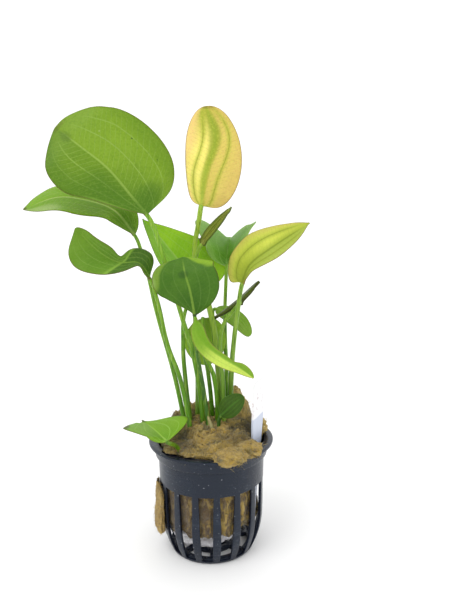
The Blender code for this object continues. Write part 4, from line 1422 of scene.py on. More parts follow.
@dataclass
class Pot:
    """Net pot: a turned cup with a flat rim, slots in its wall and a spoked floor."""

    rim_radius: float = 27.5
    rim_top: float = 49.9
    rim_thickness: float = 1.1
    collar_radius: float = 24.9
    collar_bottom: float = 43.6
    wall_thickness: float = 1.3
    floor_thickness: float = 2.0
    wall_top: float = 43.0
    wall_route: tuple[Place, ...] = (
        (23.4, 43.0), (23.2, 32.4), (23.0, 16.0), (22.2, 10.0), (20.7, 5.0), (18.4, 0.0)
    )
    slot_count: int = 16
    slot_top: float = 32.4
    slot_bottom: float = 3.0
    slot_width_top: float = 6.3
    slot_width_bottom: float = 4.7
    first_bar: float = math.radians(5.1)
    spoke_count: int = 7
    spoke_width: float = 2.2
    hub_radius: float = 4.5
    ring_inner: float = 8.4
    ring_outer: float = 10.4
    floor_rim: float = 15.6
    edge_width: float = 0.22
    columns: int = 4

    # Rows down the slots, columns on a spoke, and the least radius at which columns follow the slots' edges
    SLOT_ROWS = 12
    SPOKE_COLUMNS = 8
    LEAST_RADIUS = 18.0
    # Reach up and down over which the wall's route is eased
    EASE = 1.2
    # Turns between faces from which an edge is rounded, and from which it shows
    ROUNDED = math.radians(50)
    SHARP = math.radians(38)

    def wall_radius(self, height: float) -> float:
        """Outside radius of the wall.

        Args:
            height: Height above the pot's underside.

        Returns:
            The radius, straight between the points of the route.
        """
        for (upper, top), (lower, bottom) in zip(self.wall_route, self.wall_route[1:]):
            if bottom <= height <= top:
                return lower + (upper - lower) * (height - bottom) / (top - bottom)
        return self.wall_route[0][0]

    def wall_rows(self) -> list[tuple[float, float, float, PotZone]]:
        """Rows of the wall, from the collar down.

        Returns:
            Height, outer radius, inner radius and the zone below, for each row.
        """
        rows = []
        tall = self.slot_top - self.slot_bottom
        heights = [self.wall_top, 40.0, 36.0, 33.2, self.slot_top]
        heights += [self.slot_top - tall * step / self.SLOT_ROWS for step in range(1, self.SLOT_ROWS + 1)]
        heights += [1.5, 0.4]
        for height in heights:
            outer = self.smooth_radius(height)
            zone = PotZone.SLOTTED if self.slot_bottom < height <= self.slot_top else PotZone.SOLID
            rows.append((height, outer, outer - self.wall_thickness, zone))
        return rows

    def smooth_radius(self, height: float) -> float:
        """Outside radius of the wall, eased between the points of its route.

        Args:
            height: Height above the pot's underside.

        Returns:
            The radius.
        """
        shifts = (-1, -0.5, 0, 0.5, 1)
        heights = [max(0.0, min(self.wall_top, height + shift * self.EASE)) for shift in shifts]
        return sum(self.wall_radius(each) for each in heights) / len(heights)

    def bar_turn(self, column: int, height: float, radius: float) -> float:
        """Angle of a column of the wall. Columns follow the edges of the slots, which narrow downwards.

        Args:
            column: Number of the column.
            height: Height above the pot's underside.
            radius: Radius there.

        Returns:
            The angle.
        """
        share = min(1.0, max(0.0, (height - self.slot_bottom) / (self.slot_top - self.slot_bottom)))
        width = self.slot_width_bottom + (self.slot_width_top - self.slot_width_bottom) * share
        half_bar = math.pi / self.slot_count - math.asin(width / 2 / radius)
        return column_turn(column, self.slot_count, half_bar, self.first_bar - math.pi / 2, self.columns)

    def shell(self) -> Mesh:
        """Builds the rim, the collar and the slotted wall as one closed mesh.

        Returns:
            The mesh.
        """
        made = bmesh.new()
        count = self.slot_count * 2 * self.columns
        under = self.rim_top - self.rim_thickness
        collar_in = self.collar_radius - self.wall_thickness
        outer = [
            (self.rim_radius - 0.4, self.rim_top),
            (self.rim_radius - 0.1, self.rim_top - 0.12),
            (self.rim_radius, self.rim_top - 0.4),
            (self.rim_radius - 0.05, under + 0.1),
            (self.rim_radius - 0.35, under - 0.15),
            (self.collar_radius + 0.9, under - 0.2),
            (self.collar_radius + 0.25, under - 0.55),
            (self.collar_radius, under - 1.2),
            (self.collar_radius - 0.1, self.collar_bottom + 0.5),
            (self.collar_radius - 0.3, self.collar_bottom),
            (self.wall_route[0][0] + 0.35, self.collar_bottom - 0.25),
        ]
        inner = [
            (collar_in + 0.4, self.rim_top),
            (collar_in + 0.1, self.rim_top - 0.15),
            (collar_in, self.rim_top - 0.5),
            (collar_in - 0.02, self.collar_bottom + 1.6),
            (collar_in - 0.1, self.collar_bottom + 0.9),
        ]
        rows = self.wall_rows()

        def level(radius: float, height: float) -> Ring:
            """One ring of the wall."""
            reach = max(radius, self.LEAST_RADIUS)
            return ring(made, radius, height, [self.bar_turn(each, height, reach) for each in range(count)])

        outside = [level(radius, height) for radius, height in outer]
        inside = [level(radius, height) for radius, height in inner]
        for height, radius, inner_radius, _zone in rows:
            outside.append(level(radius, height))
            inside.append(level(inner_radius, height))

        whole = [True] * count
        bars = [column % (2 * self.columns) < self.columns for column in range(count)]
        slots = [not kept for kept in bars]
        slotted = [zone is PotZone.SLOTTED for *_sizes, zone in rows]
        strip(made, outside[0], inside[0], whole)
        for rings, above in ((outside, len(outer)), (inside, len(inner))):
            keeps = [whole] * above + [bars if cut else whole for cut in slotted]
            for upper, lower, keep in zip(rings, rings[1:], keeps):
                strip(made, upper, lower, keep)
        strip(made, outside[-1], inside[-1], whole)
        out, back = outside[len(outer) :], inside[len(inner) :]
        for wall, cut in enumerate(slotted[:-1]):
            if cut:
                sides(made, (out[wall], back[wall], back[wall + 1], out[wall + 1]), bars)
            if wall and cut != slotted[wall - 1]:
                strip(made, out[wall], back[wall], slots)
        return mesh_from(made, "net_pot_wall", outward=True)

    def floor(self) -> Mesh:
        """Builds the spoked floor as one closed mesh.

        Returns:
            The mesh.
        """
        made = bmesh.new()
        steps = self.SPOKE_COLUMNS
        count = self.spoke_count * 2 * steps
        edge = self.wall_route[-1][0] - 0.3
        radii = (self.hub_radius, self.ring_inner, self.ring_outer, self.floor_rim, edge)
        is_open = (True, False, True, False)

        def level(radius: float, height: float) -> Ring:
            """One ring of the floor, whose columns follow the edges of the spokes."""
            half = math.asin(self.spoke_width / 2 / radius)
            parts = self.spoke_count
            turns = [column_turn(each, parts, half, -math.pi / 2, steps) for each in range(count)]
            return ring(made, radius, height, turns)

        levels = [[level(radius, height) for radius in radii] for height in (0.0, self.floor_thickness)]
        centres = [made.verts.new((0.0, 0.0, height * MM)) for height in (0.0, self.floor_thickness)]
        whole = [True] * count
        spokes = [column % (2 * steps) < steps for column in range(count)]
        gaps = [not kept for kept in spokes]
        for rings, centre in zip(levels, centres):
            for column in range(count):
                made.faces.new((centre, rings[0][column], rings[0][(column + 1) % count]))
            for inner, outer, cut in zip(rings, rings[1:], is_open):
                strip(made, inner, outer, spokes if cut else whole)
        low, high = levels
        for index, cut in enumerate(is_open):
            if cut:
                sides(made, (low[index], low[index + 1], high[index + 1], high[index]), spokes)
                strip(made, low[index], high[index], gaps)
                strip(made, low[index + 1], high[index + 1], gaps)
        strip(made, low[-1], high[-1], whole)
        return mesh_from(made, "net_pot_floor", outward=True)

    def build(self) -> None:
        """Builds and dresses the pot."""
        look = PotFinish().material("charcoal_plastic")
        wall = add_piece("net_pot", self.shell(), look, smooth=False)
        floor = add_piece("net_pot_floor", self.floor(), look, smooth=False)
        for piece in (wall, floor):
            edge = piece.modifiers.new("edges", "BEVEL")
            edge.width = self.edge_width * MM
            edge.segments = 2
            edge.limit_method = "ANGLE"
            edge.angle_limit = self.ROUNDED
            edge.use_clamp_overlap = True
            applied(piece)
        both = bmesh.new()
        both.from_mesh(wall.data)
        both.from_mesh(floor.data)
        both.to_mesh(wall.data)
        both.free()
        bpy.data.objects.remove(floor)
        smoothed(wall.data)
        wall.data.set_sharp_from_angle(angle=self.SHARP)
        settle(wall, "pot")


@dataclass(frozen=True)
class WoolFinish:
    """Mineral wool, golden and olive brown, with painted highlights on its crests and painted shade in its
    hollows and shadows.

    patch: size of its clumps. depth: height of its relief. front: how much more golden the front is, partly
    painted light.
    hollow_shade_share: strength of the painted shade in the hollows. packed_radius: radius of the wool that
    is packed into the pot, 0 for loose wool; that wool is darker brown, partly painted shade.
    """

    gold: Colour = (212, 174, 68)
    brown: Colour = (142, 126, 60)
    # The third colour is a painted highlight on crests, strands and the lit top; the fourth is painted
    # shade in hollows and shaded parts
    painted_highlight: Colour = (238, 204, 104)
    hollow_shade: Colour = (76, 68, 36)
    # Colour of the wool inside the pot: partly its own packed brown, partly painted shade
    packed: Colour = (88, 64, 42)
    patch: float = 5.0
    depth: float = 1.2
    front: float = 0.0
    hollow_shade_share: float = 0.75
    packed_radius: float = 0.0

    def material(self, name: str) -> Material:
        """Builds the wool's material.

        Args:
            name: Name of the material.

        Returns:
            The material.
        """
        made = Finish(name)
        clump = made.mottle(self.patch, 4.0, 0.6)
        flow = made.mottle(1.6, 4.0, 1.4, made.stretched((0.5, 1.0, 0.8)))
        fuzz = made.mottle(0.4, 3.0, 1.0)
        fold = made.stored("fold")
        # Towards the front the wool turns more golden, partly painted light on the front of the heap
        near = made.axis(1).step(2.0, -22.0) - 0.5
        colour = made.layered(
            made.mix((clump + near * self.front).step(0.36, 0.6), self.brown, self.gold),
            # Painted highlight and painted shade along noise streaks, then painted shade in the folds'
            # hollows and painted highlight on their crests
            (flow.step(0.5, 0.7) * 0.75, self.painted_highlight),
            (flow.step(0.46, 0.28) * self.hollow_shade_share, self.hollow_shade),
            (fold.step(0.52, 0.2) * self.hollow_shade_share, self.hollow_shade),
            (fold.step(0.66, 0.9) * 0.6, self.painted_highlight),
            *(self.shades(made, clump) if self.packed_radius else ()),
        )
        relief = made.bump(fuzz + clump + flow * 0.6, self.depth)
        return made.finish(colour, 0.95, relief, 0.2, {"Sheen Weight": 0.3, "Sheen Roughness": 0.6})

    def shades(self, made: Finish, clump: Signal) -> list[Layer]:
        """Painted shadow in the hollows between the stems, painted highlight on the heap's crest, and the
        darker wool inside the pot, which is partly painted shade.

        Args:
            made: The material that is being made.
            clump: Noise of the clumps.

        Returns:
            The layers, from the lowest up.
        """
        x, y, z = (made.axis(number) for number in range(3))
        # Painted shadow behind the stems at the back right, over the left side and in a hollow at the front
        # left
        shadow = (x + clump * 10.0).step(1.0, 9.0) * (y + clump * 8.0).step(-15.0, -7.0)
        shadow = shadow * x.step(21.5, 19.5) * (1.0 - (z + clump * 6.0).step(57.0, 61.0))
        shadow = shadow.most((x + clump * 8.0).step(2.0, -10.0) * 0.45)
        left, front = x + 11.5, y + 16.0
        hole = (left * left + front * front * 1.6) ** 0.5 + clump * 8.0
        shadow = shadow.most(hole.step(11.0, 6.0) * 0.8)
        # Painted highlight on the top of the tall lump and on the tuft beside the tag
        crest = (z + clump * 4.0).step(60.0, 64.0).most(x.step(20.8, 22.0) * z.step(48.0, 50.0))
        # Inside the pot the wool darkens deeper in, in streaks and towards the left: partly painted shade,
        # partly its own packed brown
        strands = made.mottle(2.4, 4.0, 1.5, made.stretched((1.0, 1.0, 0.35)))
        deep = ((x * x + y * y) ** 0.5).step(self.packed_radius, self.packed_radius - 2.6)
        shade = (deep + strands.step(0.6, 0.38) + (x + clump * 6.0).step(5.0, -1.0) * 0.55).least(1.0)
        return [
            (shadow * z.step(47.0, 50.0) * 0.8, self.hollow_shade),
            (crest * 0.9, self.painted_highlight),
            (shade * z.step(46.0, 42.0) * 0.85, self.packed),
        ]


class Fleece(Enum):
    """Kinds of fibre coat: number of fibres, length, thickness, lift from the surface and curl."""

    HEAP = (7000, 2.4, 0.050, 0.30, 1.8)
    SIDE = (1300, 1.2, 0.035, 0.10, 0.8)
    PALE = (900, 1.4, 0.025, 0.10, 0.8)


class FibreCoat(Wiring):
    """Curled fibres that grow from a surface, made with geometry nodes and turned into a plain mesh."""

    INPUTS = {"Geometry": "Geometry", "Density": "Float", "Length": "Float", "Thickness": "Float"}
    INPUTS |= {"Lift": "Float", "Curl": "Float", "Seed": "Int", "Material": "Material"}
    # Points along a fibre, sides of its section, share by which it thins, and its least and largest scale
    POINTS = 5
    SIDES = 3
    THINNING = 0.55
    SCALES = (0.5, 1.25)
    # Fineness of the noise that curls the fibres
    SWIRL = 330.0

    def __init__(self, name: str) -> None:
        """Builds the tree with its named inputs.

        Args:
            name: Name of the node group.
        """
        tree = bpy.data.node_groups.new(name, "GeometryNodeTree")
        super().__init__(tree)
        for label, kind in self.INPUTS.items():
            tree.interface.new_socket(label, in_out="INPUT", socket_type=f"NodeSocket{kind}")
        tree.interface.new_socket("Geometry", in_out="OUTPUT", socket_type="NodeSocketGeometry")
        given = self.node("NodeGroupInput").outputs
        spread = self.node(
            "GeometryNodeDistributePointsOnFaces",
            {"distribute_method": "RANDOM"},
            {"Mesh": given["Geometry"], "Density": given["Density"], "Seed": given["Seed"]},
        )
        fibre = self.fibre(given["Length"], given["Thickness"])
        loose = self.node(
            "FunctionNodeRandomValue",
            {"data_type": "FLOAT_VECTOR"},
            {0: (-1.0, -1.0, -1.0), 1: (1.0, 1.0, 1.0), "Seed": given["Seed"]},
        )
        raised = self.vector("SCALE", {0: spread.outputs["Normal"], "Scale": given["Lift"]})
        way = self.vector("ADD", {0: raised, 1: loose.outputs[0]})
        turn = self.node("FunctionNodeAlignRotationToVector", {"axis": "Z"}, {"Vector": way})
        least, largest = self.SCALES
        scales = {2: least, 3: largest, "Seed": given["Seed"]}
        size = self.node("FunctionNodeRandomValue", {"data_type": "FLOAT"}, scales)
        sockets = {
            "Points": spread.outputs["Points"],
            "Instance": fibre,
            "Rotation": turn.outputs[0],
            "Scale": size.outputs[1],
        }
        copies = self.node("GeometryNodeInstanceOnPoints", None, sockets)
        real = self.node("GeometryNodeRealizeInstances", None, {0: copies.outputs[0]})
        place = self.node("GeometryNodeInputPosition").outputs[0]
        swirl = self.node("ShaderNodeTexNoise", None, {"Vector": place, "Scale": self.SWIRL, "Detail": 2.0})
        middle = self.vector("SUBTRACT", {0: swirl.outputs["Color"], 1: (0.5, 0.5, 0.5)})
        push = self.vector("SCALE", {0: middle, "Scale": given["Curl"]})
        bent = self.node("GeometryNodeSetPosition", None, {"Geometry": real.outputs[0], "Offset": push})
        sockets = {"Geometry": bent.outputs[0], "Material": given["Material"]}
        dressed = self.node("GeometryNodeSetMaterial", None, sockets)
        self.node("NodeGroupOutput", None, {0: dressed.outputs[0]})

    def vector(self, operation: str, sockets: dict) -> Socket:
        """Adds a Vector Math node and takes its result."""
        return self.node("ShaderNodeVectorMath", {"operation": operation}, sockets).outputs[0]

    def fibre(self, length: Socket, thickness: Socket) -> Socket:
        """Makes one straight fibre that thins towards its end.

        Args:
            length: Its length.
            thickness: Its thickness at the root.

        Returns:
            Socket of its geometry.
        """
        tip = self.node("ShaderNodeCombineXYZ", None, {2: length})
        line = self.node("GeometryNodeCurvePrimitiveLine", None, {"End": tip.outputs[0]})
        sockets = {"Curve": line.outputs[0], "Count": self.POINTS}
        parted = self.node("GeometryNodeResampleCurve", None, sockets)
        along = self.node("GeometryNodeSplineParameter").outputs["Factor"]
        thin = Signal(self, thickness) * (1.0 - Signal(self, along) * self.THINNING)
        sockets = {"Resolution": self.SIDES, "Radius": 1.0}
        section = self.node("GeometryNodeCurvePrimitiveCircle", None, sockets)
        sockets = {"Curve": parted.outputs[0], "Profile Curve": section.outputs[0]}
        sockets |= {"Scale": thin, "Fill Caps": True}
        return self.node("GeometryNodeCurveToMesh", None, sockets).outputs[0]

    def grow(self, name: str, skin: Mesh, kind: Fleece, seed: int, look: Material) -> Mesh:
        """Grows fibres on a surface.

        Args:
            name: Name of the mesh.
            skin: Surface that they grow from.
            kind: Sizes of the coat.
            seed: Number that picks the pattern.
            look: Material of the fibres.

        Returns:
            Plain mesh of the fibres.
        """
        count, length, thickness, lift, curl = kind.value
        area = sum(face.area for face in skin.polygons)
        holder = placed(name, skin)
        coat = holder.modifiers.new("fibres", "NODES")
        coat.node_group = self.tree
        values = {"Density": count / area, "Length": length * MM, "Thickness": thickness * MM}
        values |= {"Lift": lift, "Curl": curl * MM, "Seed": seed, "Material": look}
        for item in self.tree.interface.items_tree:
            if item.item_type == "SOCKET" and item.in_out == "INPUT" and item.name in values:
                coat[item.identifier] = values[item.name]
        mesh = applied(holder)
        bpy.data.objects.remove(holder)
        mesh.name = name
        return mesh


def ball(name: str, detail: int, moved: Callable[[Vector], Vector]) -> Mesh:
    """Makes a ball and moves each of its points.

    Args:
        name: Name of the mesh.
        detail: Number of subdivisions.
        moved: Turns the way to a point of the ball into the point's new place, in millimetres.

    Returns:
        The mesh.
    """
    made = bmesh.new()
    bmesh.ops.create_icosphere(made, subdivisions=detail, radius=1.0)
    for vertex in made.verts:
        vertex.co = moved(vertex.co.copy()) * MM
    return mesh_from(made, name)


def off_axis(way: Vector, radius: float, height: float) -> Vector:
    """Point at a radius on a level way from the pot's axis, and at a height."""
    return Vector((radius * way.x, radius * way.y, height))


@dataclass
class Wool:
    """Mineral wool packed into the pot and heaped above its rim, with what bulges out of the slots."""

    pot: Pot
    gap: float = 0.3
    bottom: float = 14.0
    radius: float = 22.9
    edge_height: float = 49.6
    heap: float = 7.8
    rises: tuple[tuple[Place, float, Place], ...] = (
        ((11.6, 9.0), 15.0, (7.2, 7.5)),
        ((19.5, 7.0), 5.0, (5.0, 6.0)),
        ((-5.0, 11.5), 7.5, (8.0, 6.0)),
        ((-14.0, 7.0), 6.0, (7.0, 7.0)),
        ((15.0, -12.0), 2.6, (6.0, 7.0)),
        ((3.5, -8.5), 1.6, (5.0, 5.0)),
        ((12.0, 0.0), 3.0, (7.0, 7.0)),
        ((24.0, -6.0), -9.0, (7.0, 9.0)),
        ((-19.0, -15.0), -4.0, (5.0, 5.0)),
    )
    lumps: tuple[tuple[Place, Place], ...] = (
        ((7.8, -25.0, 51.2), (6.6, 5.2, 3.0)),
        ((15.5, -18.0, 51.4), (5.0, 5.0, 3.0)),
        ((22.5, 3.2, 52.8), (2.2, 3.2, 3.5)),
        ((-15.2, -14.6, 49.8), (4.8, 4.2, 2.6)),
        ((-9.0, -19.0, 49.6), (4.4, 3.4, 2.0)),
    )
    flap_angle: float = math.radians(192.0)
    flap_height: float = 20.6
    flap_half_angle: float = math.radians(17.0)
    flap_half_height: float = 10.3
    flap_outside: float = 25.0
    flap_lean: float = 0.6
    fleece_middle: Place = (-3.5, -4.0, 8.0)
    fleece_half_sizes: Place = (12.5, 10.0, 5.4)
    columns: int = 240
    top_rows: int = 84
    side_rows: int = 56
    under_rows: int = 8
    front: float = -31.2
    puff_height: float = 21.0
    puff_half_height: float = 13.0
    flat_side: float = 17.2
    flat_top: float = 33.0
    thin_lift: float = 2.6

    # Heights of the folds below and on the plug, on a lump, on the flap and on the fleece
    UNDER_FOLDS = 1.4
    TOP_FOLDS = 2.6
    LUMP_FOLDS = 1.2
    FLAP_FOLDS = 0.8
    FLEECE_FOLDS = 0.3
    # Rise of the plug's underside to its middle, and the cylinder on which the dents of its side are read
    HOLLOW = 2.0
    DENT_RADIUS = 22.0
    DENT_HEIGHT = 0.45
    # Subdivisions of a lump and of the flap, and how square the flap is
    LUMP_DETAIL = 5
    FLAP_DETAIL = 6
    FLAP_POWER = 6.0

    def plug_radius(self, height: float) -> float:
        """Widest radius of the plug inside the pot.

        Args:
            height: Height above the pot's underside.

        Returns:
            The radius.
        """
        lower = self.pot.wall_radius(height) - self.pot.wall_thickness - 2 * self.gap
        share = (height - self.pot.collar_bottom) / (self.pot.rim_top - 2.0 - self.pot.collar_bottom)
        return lower + (self.radius - lower) * max(0.0, min(1.0, share))

    def heap_height(self, x: float, y: float) -> float:
        """Height of the heap's top.

        Args:
            x: Place to the right of the pot's axis.
            y: Place behind it.

        Returns:
            The height.
        """
        share = min(1.0, (x * x + y * y) / self.radius**2)
        height = self.edge_height + self.heap * (1.0 - share)
        for (middle_x, middle_y), rise, (half_x, half_y) in self.rises:
            away = ((x - middle_x) / half_x) ** 2 + ((y - middle_y) / half_y) ** 2
            height += rise * max(0.0, 1.0 - away)
        return height + rough(Vector((x, y, 0.0)), 5.0, 1.6, 7.0)

    def crumple(self, place: Vector, amount: float) -> float:
        """Folds, strands and clumps of the wool.

        Args:
            place: Point to read, in millimetres.
            amount: Height of the folds in millimetres.

        Returns:
            The push outward, in millimetres.
        """
        drawn = place + Vector([rough(place, 8.0, 4.0, seed) for seed in (11.0, 12.0, 13.0)])
        drawn = Vector((drawn.x * 0.55, drawn.y, drawn.z))
        folds = 1.0 - 2.0 * abs(noise.noise(drawn / 3.8 + Vector((3.0, 0.0, 0.0))))
        lumps = 1.0 - 2.0 * abs(noise.noise(drawn / 1.7 + Vector((0.0, 8.0, 0.0))))
        fine = rough(drawn, 0.9, 0.36, 1.0) + rough(place, 0.5, 0.2, 6.0)
        return amount * (0.5 * folds + 0.34 * lumps - 0.26 + fine)

    def puff(self, turn: float, height: float) -> float:
        """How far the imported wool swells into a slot.

        Args:
            turn: Angle about the pot's axis.
            height: Height above the pot's underside.

        Returns:
            The swelling, in millimetres.
        """
        pitch = 2 * math.pi / self.pot.slot_count
        bars = (turn + math.pi / 2 - self.pot.first_bar) / pitch
        away = abs(bars % 1.0 - 0.5) * 2.0
        inside = max(0.0, 1.0 - (away / 0.6) ** 2)
        tall = max(0.0, 1.0 - abs(height - self.puff_height) / self.puff_half_height)
        ease = tall * tall * (3.0 - 2.0 * tall)
        place = Vector((math.floor(bars), 0.0, height / 9.0))
        return inside * ease * (0.9 + 1.6 * rough(place, 1.0, 1.0, 4.0))

    def plug(self) -> Mesh:
        """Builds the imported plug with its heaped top.

        Returns:
            The mesh.
        """
        rows = [("under", row / self.under_rows) for row in range(1, self.under_rows + 1)]
        rows += [("side", row / self.side_rows) for row in range(1, self.side_rows)]
        rows += [("top", row / self.top_rows) for row in range(self.top_rows, 0, -1)]
        points = [Vector((0.0, 0.0, self.bottom + self.HOLLOW))]
        for kind, share in rows:
            for step in range(self.columns):
                turn = 2 * math.pi * step / self.columns
                way = around(1.0, turn, 0.0)
                ragged = self.bottom + rough(way, 0.35, 5.0, 4.0) + self.thin_lift * max(0.0, way.x)
                edge = self.heap_height(self.radius * way.x, self.radius * way.y)
                if kind == "under":
                    spread = self.plug_radius(ragged) * share
                    height = ragged + self.HOLLOW * (1.0 - share)
                    height -= self.crumple(off_axis(way, spread, 0.0), self.UNDER_FOLDS)
                elif kind == "side":
                    height = ragged + (edge - ragged) * share
                    place = off_axis(way, self.DENT_RADIUS, height * self.DENT_HEIGHT)
                    dent = abs(rough(place, 2.6, 1.8, 2.0)) + abs(rough(place, 1.2, 0.8, 5.0))
                    spread = self.plug_radius(height) - 0.2 - dent + self.puff(turn, height)
                    reach = self.flat_side + max(0.0, height - self.flat_top)
                    spread = min(spread, reach / max(0.1, way.x) - dent)
                else:
                    spread = self.plug_radius(edge) * share
                    height = self.heap_height(spread * way.x, spread * way.y)
                    height += self.crumple(off_axis(way, spread, height), self.TOP_FOLDS)
                points.append(off_axis(way, spread, height))
        points.append(Vector((0.0, 0.0, self.heap_height(0.0, 0.0))))
        faces = []
        count = self.columns
        last = 1 + (len(rows) - 1) * count
        for step in range(count):
            after = (step + 1) % count
            faces.append((0, 1 + after, 1 + step))
            faces.append((last + step, last + after, len(points) - 1))
            for row in range(len(rows) - 1):
                low = 1 + row * count
                faces.append((low + step, low + after, low + count + after, low + count + step))
        return mesh_of("wool_plug", points, faces)

    def lump(self, name: str, middle: Place, half_sizes: Place, seed: float, amount: float) -> Mesh:
        """Builds a ragged lump.

        Args:
            name: Name of the mesh.
            middle: Its middle.
            half_sizes: Half sizes along each axis.
            seed: Number that picks the pattern.
            amount: Height of the folds in millimetres.

        Returns:
            The mesh.
        """

        def moved(way: Vector) -> Vector:
            """Moves a point.

            Args:
                way: Way to the point from the middle.

            Returns:
                Its new place.
            """
            swell = 1.0 + rough(way, 0.5, 0.2, seed) + rough(way, 0.22, 0.12, seed + 9)
            place = Vector([middle[axis] + way[axis] * half_sizes[axis] * swell for axis in range(3)])
            place += way * self.crumple(place, amount)
            place.y = max(place.y, self.front)
            return place

        return ball(name, self.LUMP_DETAIL, moved)

    def over_rim(self, mesh: Mesh) -> Mesh:
        """Lifts the points of a lump that would lie in the pot's rim onto it.

        Args:
            mesh: Mesh of the lump, which is changed.

        Returns:
            The same mesh.
        """
        inside = self.pot.collar_radius - self.pot.wall_thickness - self.gap
        outside = self.pot.rim_radius + self.gap
        top = self.pot.rim_top + self.gap
        for vertex in mesh.vertices:
            place = vertex.co / MM
            radius = math.hypot(place.x, place.y)
            if radius > inside and place.z < top:
                if radius < (inside + outside) / 2 + 1.5:
                    place.z = top
                else:
                    place.xy = place.xy * (max(radius, outside) / radius)
                vertex.co = place * MM
        return mesh

    def kept_in(self, mesh: Mesh) -> Mesh:
        """Moves the points of a fibre mesh that would lie in the pot's wall, rim or floor clear of it.

        Args:
            mesh: Mesh of the fibres, which is changed.

        Returns:
            The same mesh.
        """
        inside = self.pot.collar_radius - self.pot.wall_thickness - self.gap / 2
        outside = self.pot.rim_radius + self.gap / 2
        for vertex in mesh.vertices:
            place = vertex.co / MM
            radius = math.hypot(place.x, place.y)
            room = min(inside, self.pot.wall_radius(place.z) - self.pot.wall_thickness - self.gap / 2)
            if place.z > self.pot.collar_bottom:
                room = inside
            if radius > room and place.z < self.pot.rim_top + self.gap / 2:
                under = place.z < self.pot.rim_top - 3.0 and radius < self.pot.collar_radius
                if radius < inside + 2.0 or under:
                    place.xy = place.xy * (room / radius)
                elif place.z > self.pot.rim_top - 1.0:
                    place.z = self.pot.rim_top + self.gap / 2
                else:
                    place.xy = place.xy * (max(radius, outside) / radius)
            place.z = max(place.z, self.gap / 2)
            place.y = max(place.y, self.front)
            vertex.co = place * MM
        return mesh

    def folded(self, mesh: Mesh) -> Mesh:
        """Stores how far each point stands out of the folds, from 0 in a dip to 1 on a crest, where the
        material paints shade and highlight.

        Args:
            mesh: The mesh, which is changed.

        Returns:
            The same mesh, with the attribute fold.
        """
        rises = [0.5 + 0.8 * self.crumple(vertex.co / MM, 1.0) for vertex in mesh.vertices]
        fold = mesh.attributes.new("fold", "FLOAT", "POINT")
        fold.data.foreach_set("value", [min(1.0, max(0.0, rise)) for rise in rises])
        return mesh

    def flap(self) -> Mesh:
        """Builds the flat lump that lies against the outside of the wall.

        Returns:
            The mesh.
        """

        def moved(way: Vector) -> Vector:
            """Moves a point.

            Args:
                way: Way to the point from the middle.

            Returns:
                Its new place.
            """
            power = self.FLAP_POWER
            way = way / (way.x**power + way.y**power + way.z**power) ** (1.0 / power)
            way = Vector([max(-1.0, min(1.0, part)) for part in way])
            swell = 1.0 + rough(way, 0.5, 0.14, 2.0) + rough(way, 0.12, 0.06, 5.0)
            turn = self.flap_angle + self.flap_half_angle * way.y * swell
            height = self.flap_height + self.flap_half_height * way.z * swell
            inner = self.pot.wall_radius(height) + self.gap
            outer = self.flap_outside - self.flap_lean * way.z
            radius = inner + (outer - inner) * (0.5 + 0.5 * way.x)
            folds = self.crumple(around(radius, turn, height), self.FLAP_FOLDS)
            return around(radius + max(0.0, way.x + 0.4) * folds, turn, height)

        return ball("wool_tuft", self.FLAP_DETAIL, moved)

    def build(self, tag: "Tag") -> None:
        """Builds and dresses the wool, its flap and the pale fleece.

        Args:
            tag: The plant tag, which keeps the wool on its outer side away.
        """
        coat = FibreCoat("fibre_coat")
        look = WoolFinish(front=0.24, packed_radius=20.8).material("golden_wool")
        # The strands' third colour is a painted highlight; they take the heap's painted shade and shadow
        paler = WoolFinish(
            (226, 196, 100), (168, 152, 82), (242, 218, 134), front=0.24, packed_radius=20.8
        )
        strand = paler.material("wool_strands")
        plug = add_piece("wool_heap", self.plug(), look)
        cutter = add_piece("tag_room", tag.sheet("tag_room", self.gap, tag.outer_room), smooth=False)
        room = plug.modifiers.new("room", "BOOLEAN")
        room.operation = "DIFFERENCE"
        room.solver = "EXACT"
        room.object = cutter
        applied(plug)
        bpy.data.objects.remove(cutter)
        parts = [plug.data]
        for index, (middle, half_sizes) in enumerate(self.lumps):
            lump = self.lump(f"lobe_{index}", middle, half_sizes, index * 3.7, self.LUMP_FOLDS)
            parts.append(self.over_rim(lump))
        skin = joined("wool_heap", parts)
        fibres = self.kept_in(coat.grow("wool_fibres", skin, Fleece.HEAP, 3, strand))
        plug.data = skin
        skin.materials.append(look)
        smoothed(skin)
        settle(plug, "wool")
        self.folded(skin)
        settle(add_piece("wool_fibres", self.folded(fibres), strand), "wool")

        # The flap's third colour is a painted highlight, and it keeps the painted shade in its hollows
        loose = WoolFinish((218, 178, 84), (190, 150, 66), (236, 204, 112))
        gold = loose.material("golden_tuft")
        flap = self.flap()
        hair = coat.grow("wool_tuft_fibres", flap.copy(), Fleece.SIDE, 5, gold)
        settle(add_piece("wool_tuft", self.folded(flap), gold), "wool_flap")
        settle(add_piece("wool_tuft_fibres", self.folded(hair), gold), "wool_flap")

        pale = WoolFinish(
            gold=(0.82, 0.81, 0.84, 1.0),
            brown=(0.66, 0.65, 0.69, 1.0),
            # A painted highlight on the crests and painted shade in the hollows
            painted_highlight=(0.88, 0.88, 0.90, 1.0),
            hollow_shade=(0.56, 0.55, 0.59, 1.0),
            patch=6.0,
            depth=0.2,
            hollow_shade_share=0.4,
        ).material("pale_fleece")
        pad = self.lump("fleece_pad", self.fleece_middle, self.fleece_half_sizes, 5.0, self.FLEECE_FOLDS)
        hair = self.kept_in(coat.grow("fleece_fibres", pad.copy(), Fleece.PALE, 9, pale))
        settle(add_piece("fleece_pad", self.folded(pad), pale), "fleece")
        settle(add_piece("fleece_fibres", self.folded(hair), pale), "fleece")


